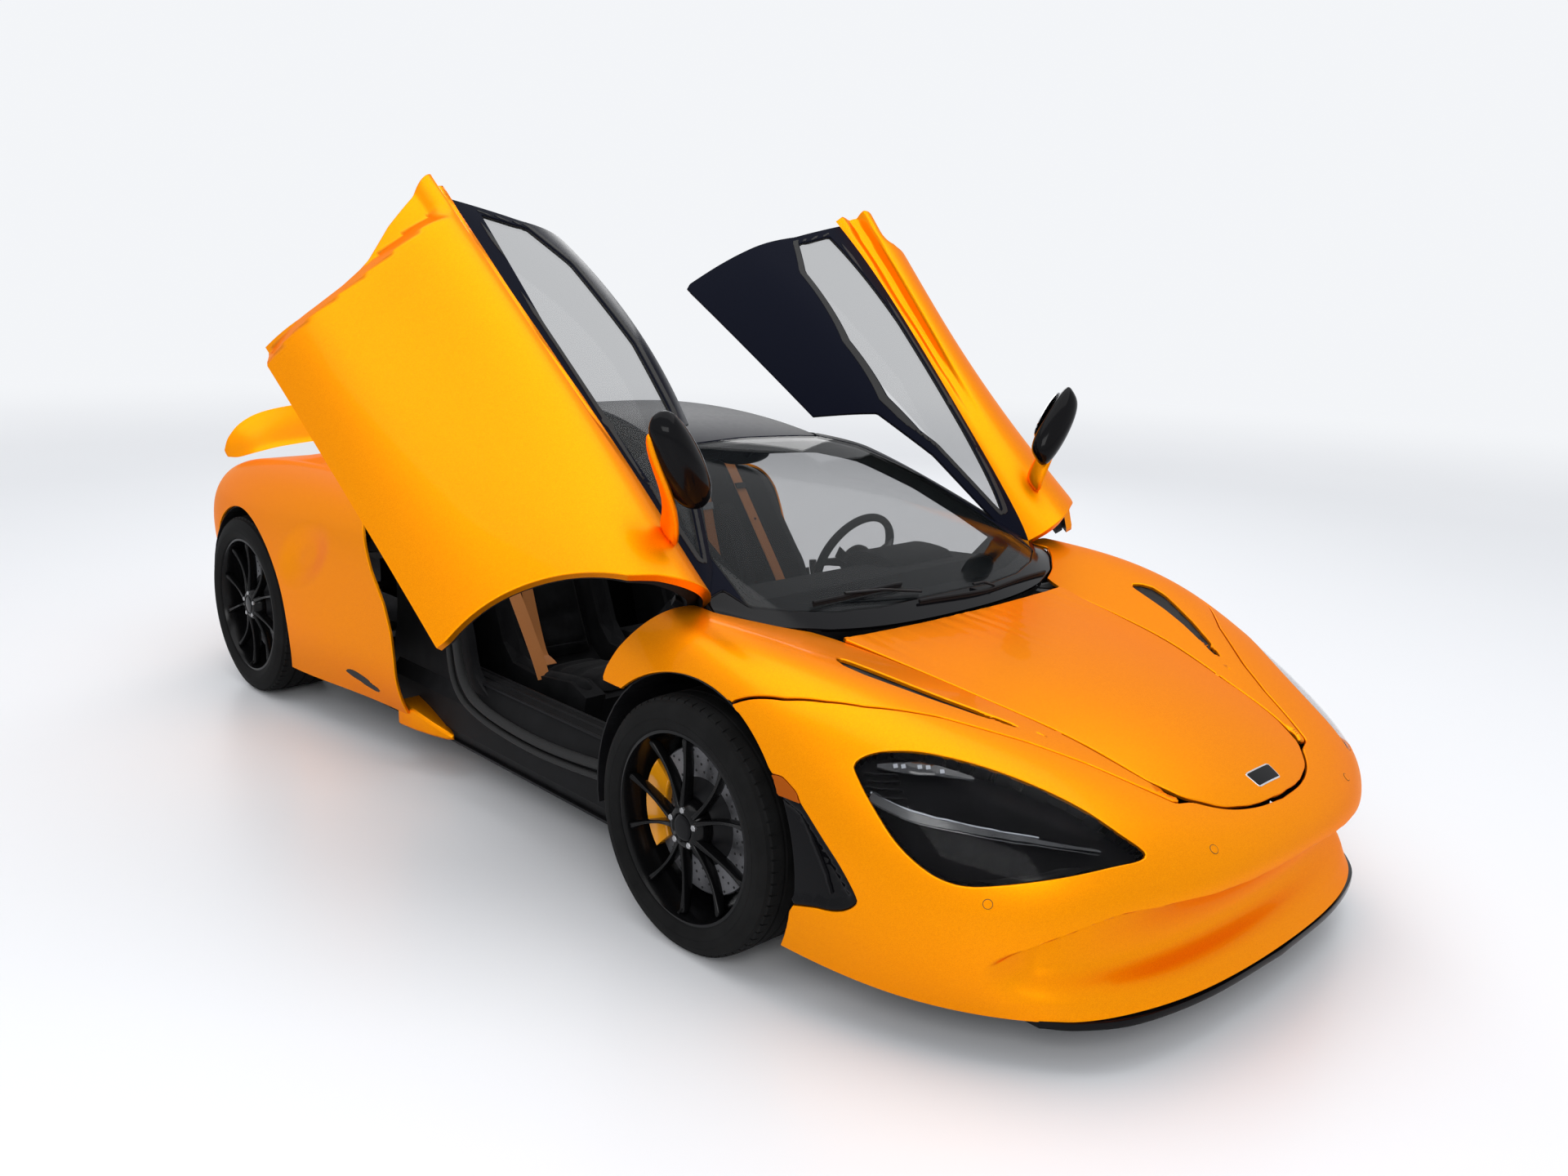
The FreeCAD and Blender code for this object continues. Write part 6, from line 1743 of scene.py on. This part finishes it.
def makeSills():
    look = sillLook
    ribs = []
    for y, z in look["ridges"]:
        rings = []
        for x in np.linspace(look["start"], look["end"], 20):
            rings.append([(x, y + a, z + b) for a, b in ((-7, -2), (-4, 4), (4, 4), (7, -2))])
        ribs.append(loft(rings))
    solidObject("sillRidges", pairOf(together(ribs)), satinBlack, "root", "trim_black", bevel=1.5)
    seals = []
    for seal in sealLook:
        line = [(at(x), seal["side"], z) for x, z in curved(seal["line"], 7)]
        seals.append(tube(line, seal["radius"], 12, up=(0, 1, 0)))
    solidObject("apertureSeals", pairOf(together(seals)), sealBlack, "root", "trim_black")
    outline = curvedLoop([(at(x), z) for x, z in pillarLook["outline"]], 4)
    pillar = extruded(outline, pillarLook["inner"], pillarLook["outer"])
    solidObject("doorPillars", pairOf(pillar), satinBlack, "root", "trim_black", bevel=5)
    solidObject("floorMats", pairOf(block(*look["mat"])), carpet, "root", "trim_black", bevel=4)


makeSeats()
makeBelts()
makeSteering()
makeDash()
makeSills()
print("cabin ready")


# Wing, grilles, wipers and the finishes of the CAD nodes that stay

wingLook = {"rows": [(0, (aft(-470), 905), (aft(-670), 1050)), (350, (aft(-475), 903), (aft(-673), 1043)),
                     (560, (aft(-495), 885), (aft(-675), 1018)), (670, (aft(-520), 862), (aft(-675), 975)),
                     (735, (aft(-565), 840), (aft(-665), 915)), (762, (aft(-605), 838), (aft(-650), 862))],
            "thickness": 24, "steps": 6}


def makeWing():
    look = wingLook
    table = np.array([(y, *a, *b) for y, a, b in look["rows"]], float)
    table = np.vstack([table[:0:-1] * [-1, 1, 1, 1, 1], table])
    fine = []
    for k in range(5):
        fine.append([p[1] for p in curved(list(enumerate(table[:, k])), look["steps"])])
    rings = []
    for y, x0, z0, x1, z1 in np.array(fine).T:
        lead, chord = np.array([x0, z0]), np.array([x1 - x0, z1 - z0])
        length = np.linalg.norm(chord)
        up = unit(np.array([-chord[1], chord[0]]))
        up *= np.sign(up[1])
        thick = look["thickness"] * min(length / 240, 1)
        ring = []
        for s in np.concatenate([np.linspace(0, 1, 13), np.linspace(1, 0, 13)[1:-1]]):
            k = len(ring)
            camber = -0.75 * math.sin(math.pi * s) * 0.9
            half = 0.5 * math.sin(math.pi * min(1, s ** 0.55)) + 0.06
            lift = camber + (half if k < 13 else -half)
            p = lead + chord * s + up * (thick * lift)
            ring.append((p[0], y, p[1]))
        rings.append(ring)
    solidObject("wingBlade", loft(rings), paint, "root", "body_paint", ["rear_wing"], angle=50)


def makeGrille():
    look = tailLook
    places = []
    pitch = look["pitch"]
    targets = []
    for row in range(int((look["meshTop"] - look["meshBottom"]) / (pitch * 0.87)) + 1):
        for k in range(int(2 * look["meshHalf"] / pitch) + 1):
            y = -look["meshHalf"] + pitch * (k + 0.5 * (row % 2))
            targets.append((y, look["meshBottom"] + 6 + row * pitch * 0.87))
    cloud, normals = onSheet(flank, flank["params"])
    rear = cloud[:, 0] < look["rearOf"]
    cloud, normals = cloud[rear], normals[rear]
    left = meshOutline()
    inside = inSection(curvedLoop(left + [(-y, z) for y, z in left[::-1]], 5))
    for y, z in targets:
        if inside(np.array([[0.0, y, z]]))[0] > -6:
            continue
        if math.hypot(abs(y) - exhaustPlace["y"], z - exhaustPlace["z"]) < 68:
            continue
        near = np.argmin((cloud[:, 1] - abs(y)) ** 2 + (cloud[:, 2] - z) ** 2)
        sign = -1 if y < 0 else 1
        places.append(((cloud[near, 0] + 6, y, z), normals[near] * [1, sign, 1], (0, 0, 1)))
    outer, inner = pitch * 0.56, pitch * 0.46
    rings = []
    for r, d in ((outer, 0), (outer, 3), (inner, 3), (inner, 0), (outer, 0)):
        rings.append([(r * math.cos(t), r * math.sin(t), d) for t in turns(6)])
    repeated("tailMesh", loft(rings, caps=False), places, satinBlack)


def makeExhaustTips():
    x = tailX + 12
    tips = []
    for y in (exhaustPlace["y"], -exhaustPlace["y"]):
        rings = []
        for r, d in ((53, 60), (55, 8), (54, 0), (50, 0), (48, 8), (47, 110), (46, 112)):
            rings.append([(x + d, y + r * math.cos(t), exhaustPlace["z"] + r * math.sin(t))
                          for t in turns(48)])
        tips.append(loft(rings, caps=False))
    solidObject("exhaustTips", together(tips), steel, "root", "exhaust_steel")


wiperLook = {"blades": [[(1088, -450), (1092, -300), (1098, -112)],
                        [(1164, -106), (1176, 140), (1160, 330), (1140, 520)]],
             "pivots": [(1136, -70), (1150, 150)], "joint": (0.45, 0.5)}


def makeWipers():
    cloud, _ = onSheet(canopy, canopy["params"])

    def top(x, y, lift):
        near = np.argmin((cloud[:, 0] - x) ** 2 + (cloud[:, 1] - abs(y)) ** 2)
        return np.array([x, y, cloud[near, 2] + lift])
    parts = []
    for path, pivot, share in zip(wiperLook["blades"], wiperLook["pivots"], wiperLook["joint"]):
        points = np.array([top(x, y, 10) for x, y in curved(path, 5)])
        points[:, 2] = evened(points[:, 2])
        parts.append(tube(points, 4.5, 8, 1.3))
        rubberLine = points - [0, 0, 7]
        parts.append(tube(rubberLine, 2.2, 6, 2.0))
        middle = points[int(share * (len(points) - 1))] + [0, 0, 8]
        root = top(pivot[0], pivot[1], 12)
        parts.append(tube([root, root * 0.5 + middle * 0.5 + [0, 0, 8], middle], 6.5, 10, 0.6))
        parts.append(tube([root - [0, 0, 12], root + [0, 0, 4], root + [0, 0, 9]], 13, 18))
    solidObject("wiperSet", together(parts), satinBlack, "root", "trim_black", ["wipers"])


splitterLook = {"outline": [(fore(560), 700), (noseX - 225, 702), (noseX - 160, 642), (noseX - 92, 522),
                            (noseX - 46, 300), (noseX - 30, 0)], "low": 112, "high": 130}


def makeSplitter():
    look = splitterLook
    edge = [look["outline"][0]] + curved(look["outline"][1:], 6)
    whole = edge + [(x, -y) for x, y in edge[::-1] if y > 0.5]
    rings = [[(x, y, z) for x, y in whole] for z in (look["low"], look["low"] + 8, look["high"])]
    solidObject("splitterPlate", loft(rings), blackGloss, "root", "carbon_black", ["splitter"], bevel=2.5)


finishes = {"passenger_cell": trimBlack, "dashboard": suede, "front_frame": frameMetal,
            "rear_frame": frameMetal,
            "suspension_arms": castMetal, "knuckle_fl": castMetal, "knuckle_fr": castMetal,
            "knuckles_rear": castMetal,
            "drive_shafts": steel, "engine": engineMetal, "exhaust": steel, "luggage_bay": carpet,
            "arch_liners": satinBlack, "floor_tray": satinBlack, "diffuser": carbon, "wing_struts": blackGloss,
            "seat_l": trimBlack, "seat_r": trimBlack}


def finishNodes():
    for name, material in finishes.items():
        obj = nodes[name]
        if not obj.material_slots:
            obj.data.materials.append(material)
        for place in obj.material_slots:
            place.material = material


quarterVentLook = {"place": (aft(890), 250), "size": (112, 25), "lean": 0.16}
# along the car, inner side, outer side, foot and top of the painted end of the sill
sillEndRows = [(-440, 800, 878, 136, 224), (-360, 800, 866, 134, 206), (-280, 800, 846, 132, 180),
               (-222, 802, 826, 131, 160), (-203, 804, 812, 133, 150)]


def makeQuarterTrim():
    # the black slot low in each rear quarter and the painted end of the sill ahead of it
    look = quarterVentLook
    x, z = look["place"]
    ring = [(x + look["size"][0] * math.cos(t), z - look["lean"] * look["size"][0] * math.cos(t)
             + look["size"][1] * math.sin(t) * (1 if math.sin(t) > 0 else 0.45))
            for t in turns(28)]
    slot = cutPanel(flank, inSide(ring), near=-0.8, thickness=3, rounding=1)
    panelObject("quarterVents", bothSides(slot), [sealBlack])
    rings = []
    for x, inner, outer, low, high in sillEndRows:
        rings.append([(x, inner, low), (x, outer - 8, low), (x, outer, low + 8), (x, outer, high - 8),
                      (x, outer - 8, high), (x, inner, high)])
    solidObject("sillEnds", pairOf(loft(rings)), paint, "root", "body_paint", bevel=2)


makeQuarterTrim()
makeWing()
makeGrille()
makeExhaustTips()
makeWipers()
makeSplitter()
finishNodes()
print("details ready")


# Floor, light and camera

studio = {"floor": (0.86, 0.865, 0.875), "back": (0.90, 0.915, 0.94), "lit": (0.80, 0.82, 0.86), "fill": 0.92,
          "fade": (5.5, 16.0),
          "lights": [("ceiling", (0.6, -0.4, 5.4), (0.2, 0, 0), (7.5, 5.0), 150),
                     ("key", (5.0, -4.6, 3.8), (0.4, 0, 0.6), (3.0, 2.2), 95),
                     ("rim", (-4.6, 4.4, 3.6), (-0.6, 0, 0.6), (3.0, 2.0), 70)]}
view = {"right": (0.68571362, 0.72726327, 0.02974825), "up": (-0.18929077, 0.13871423, 0.97207375),
        "ahead": (-0.70282703, 0.67219528, -0.23278246), "place": (3435.6, -2804.0, 1640.7), "lens": 29.656}


def areaLight(name, place, target, size, power):
    light = bpy.data.lights.new(name, "AREA")
    light.shape = "RECTANGLE"
    light.size, light.size_y = size
    light.energy = power
    obj = bpy.data.objects.new(name, light)
    obj.location = place
    obj.rotation_mode = "QUATERNION"
    obj.rotation_quaternion = (Vector(target) - Vector(place)).to_track_quat("-Z", "Y")
    bpy.context.scene.collection.objects.link(obj)


def makeStage():
    mesh = bpy.data.meshes.new("floor")
    reach = 60
    mesh.from_pydata([(-reach, -reach, 0), (reach, -reach, 0), (reach, reach, 0), (-reach, reach, 0)], [],
                     [(0, 1, 2, 3)])
    floor = bpy.data.objects.new("floor", mesh)
    bpy.context.scene.collection.objects.link(floor)
    cover = makeMaterial("studioFloor", studio["floor"], Roughness=0.5)
    cloud = textureNode(cover, "ShaderNodeTexNoise", 0.5, Detail=2.0)
    roughnessBy(cover, cloud, "Fac", 0.30, 0.38)
    tree = cover.node_tree
    link = tree.links.new
    place = tree.nodes.new("ShaderNodeTexCoord")
    reachNode = tree.nodes.new("ShaderNodeVectorMath")
    reachNode.operation = "LENGTH"
    fade = tree.nodes.new("ShaderNodeMapRange")
    fade.interpolation_type = "SMOOTHSTEP"
    fade.inputs["From Min"].default_value, fade.inputs["From Max"].default_value = studio["fade"]
    rays = tree.nodes.new("ShaderNodeLightPath")
    share = tree.nodes.new("ShaderNodeMath")
    share.operation = "MULTIPLY"
    glow = tree.nodes.new("ShaderNodeEmission")
    glow.inputs["Color"].default_value = (*studio["back"], 1)
    mix = tree.nodes.new("ShaderNodeMixShader")
    link(place.outputs["Object"], reachNode.inputs[0])
    link(reachNode.outputs["Value"], fade.inputs["Value"])
    link(fade.outputs["Result"], share.inputs[0])
    link(rays.outputs["Is Camera Ray"], share.inputs[1])
    link(share.outputs["Value"], mix.inputs["Fac"])
    link(tree.nodes["Principled BSDF"].outputs[0], mix.inputs[1])
    link(glow.outputs[0], mix.inputs[2])
    link(mix.outputs[0], tree.nodes["Material Output"].inputs["Surface"])
    mesh.materials.append(cover)
    floor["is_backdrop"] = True
    world = bpy.data.worlds.new("studio")
    world.use_nodes = True
    bpy.context.scene.world = world
    tree = world.node_tree
    seen = tree.nodes["Background"]
    seen.inputs["Color"].default_value = (*studio["back"], 1)
    lit = tree.nodes.new("ShaderNodeBackground")
    lit.inputs["Color"].default_value = (*studio["lit"], 1)
    lit.inputs["Strength"].default_value = studio["fill"]
    rays = tree.nodes.new("ShaderNodeLightPath")
    mix = tree.nodes.new("ShaderNodeMixShader")
    kinds = []
    for first, second in (("Is Camera Ray", "Is Glossy Ray"), (None, "Is Transmission Ray")):
        either = tree.nodes.new("ShaderNodeMath")
        either.operation = "MAXIMUM"
        source = rays.outputs[first] if first else kinds[0].outputs["Value"]
        tree.links.new(source, either.inputs[0])
        tree.links.new(rays.outputs[second], either.inputs[1])
        kinds.append(either)
    tree.links.new(kinds[-1].outputs["Value"], mix.inputs["Fac"])
    tree.links.new(lit.outputs[0], mix.inputs[1])
    tree.links.new(seen.outputs[0], mix.inputs[2])
    tree.links.new(mix.outputs[0], tree.nodes["World Output"].inputs["Surface"])
    for row in studio["lights"]:
        areaLight(*row)


def makeCamera():
    right, up, ahead = (Vector(view[name]) for name in ("right", "up", "ahead"))
    camera = bpy.data.cameras.new("camera")
    camera.sensor_width = 36
    camera.lens = view["lens"]
    camera.clip_end = 200
    obj = bpy.data.objects.new("camera", camera)
    turn = Matrix((right, up, -ahead)).transposed().to_4x4()
    obj.matrix_world = Matrix.Translation(Vector(view["place"]) * mm) @ turn
    bpy.context.scene.collection.objects.link(obj)
    bpy.context.scene.camera = obj
    bpy.context.scene.view_settings.view_transform = "Standard"


makeStage()
makeCamera()
low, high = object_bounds()
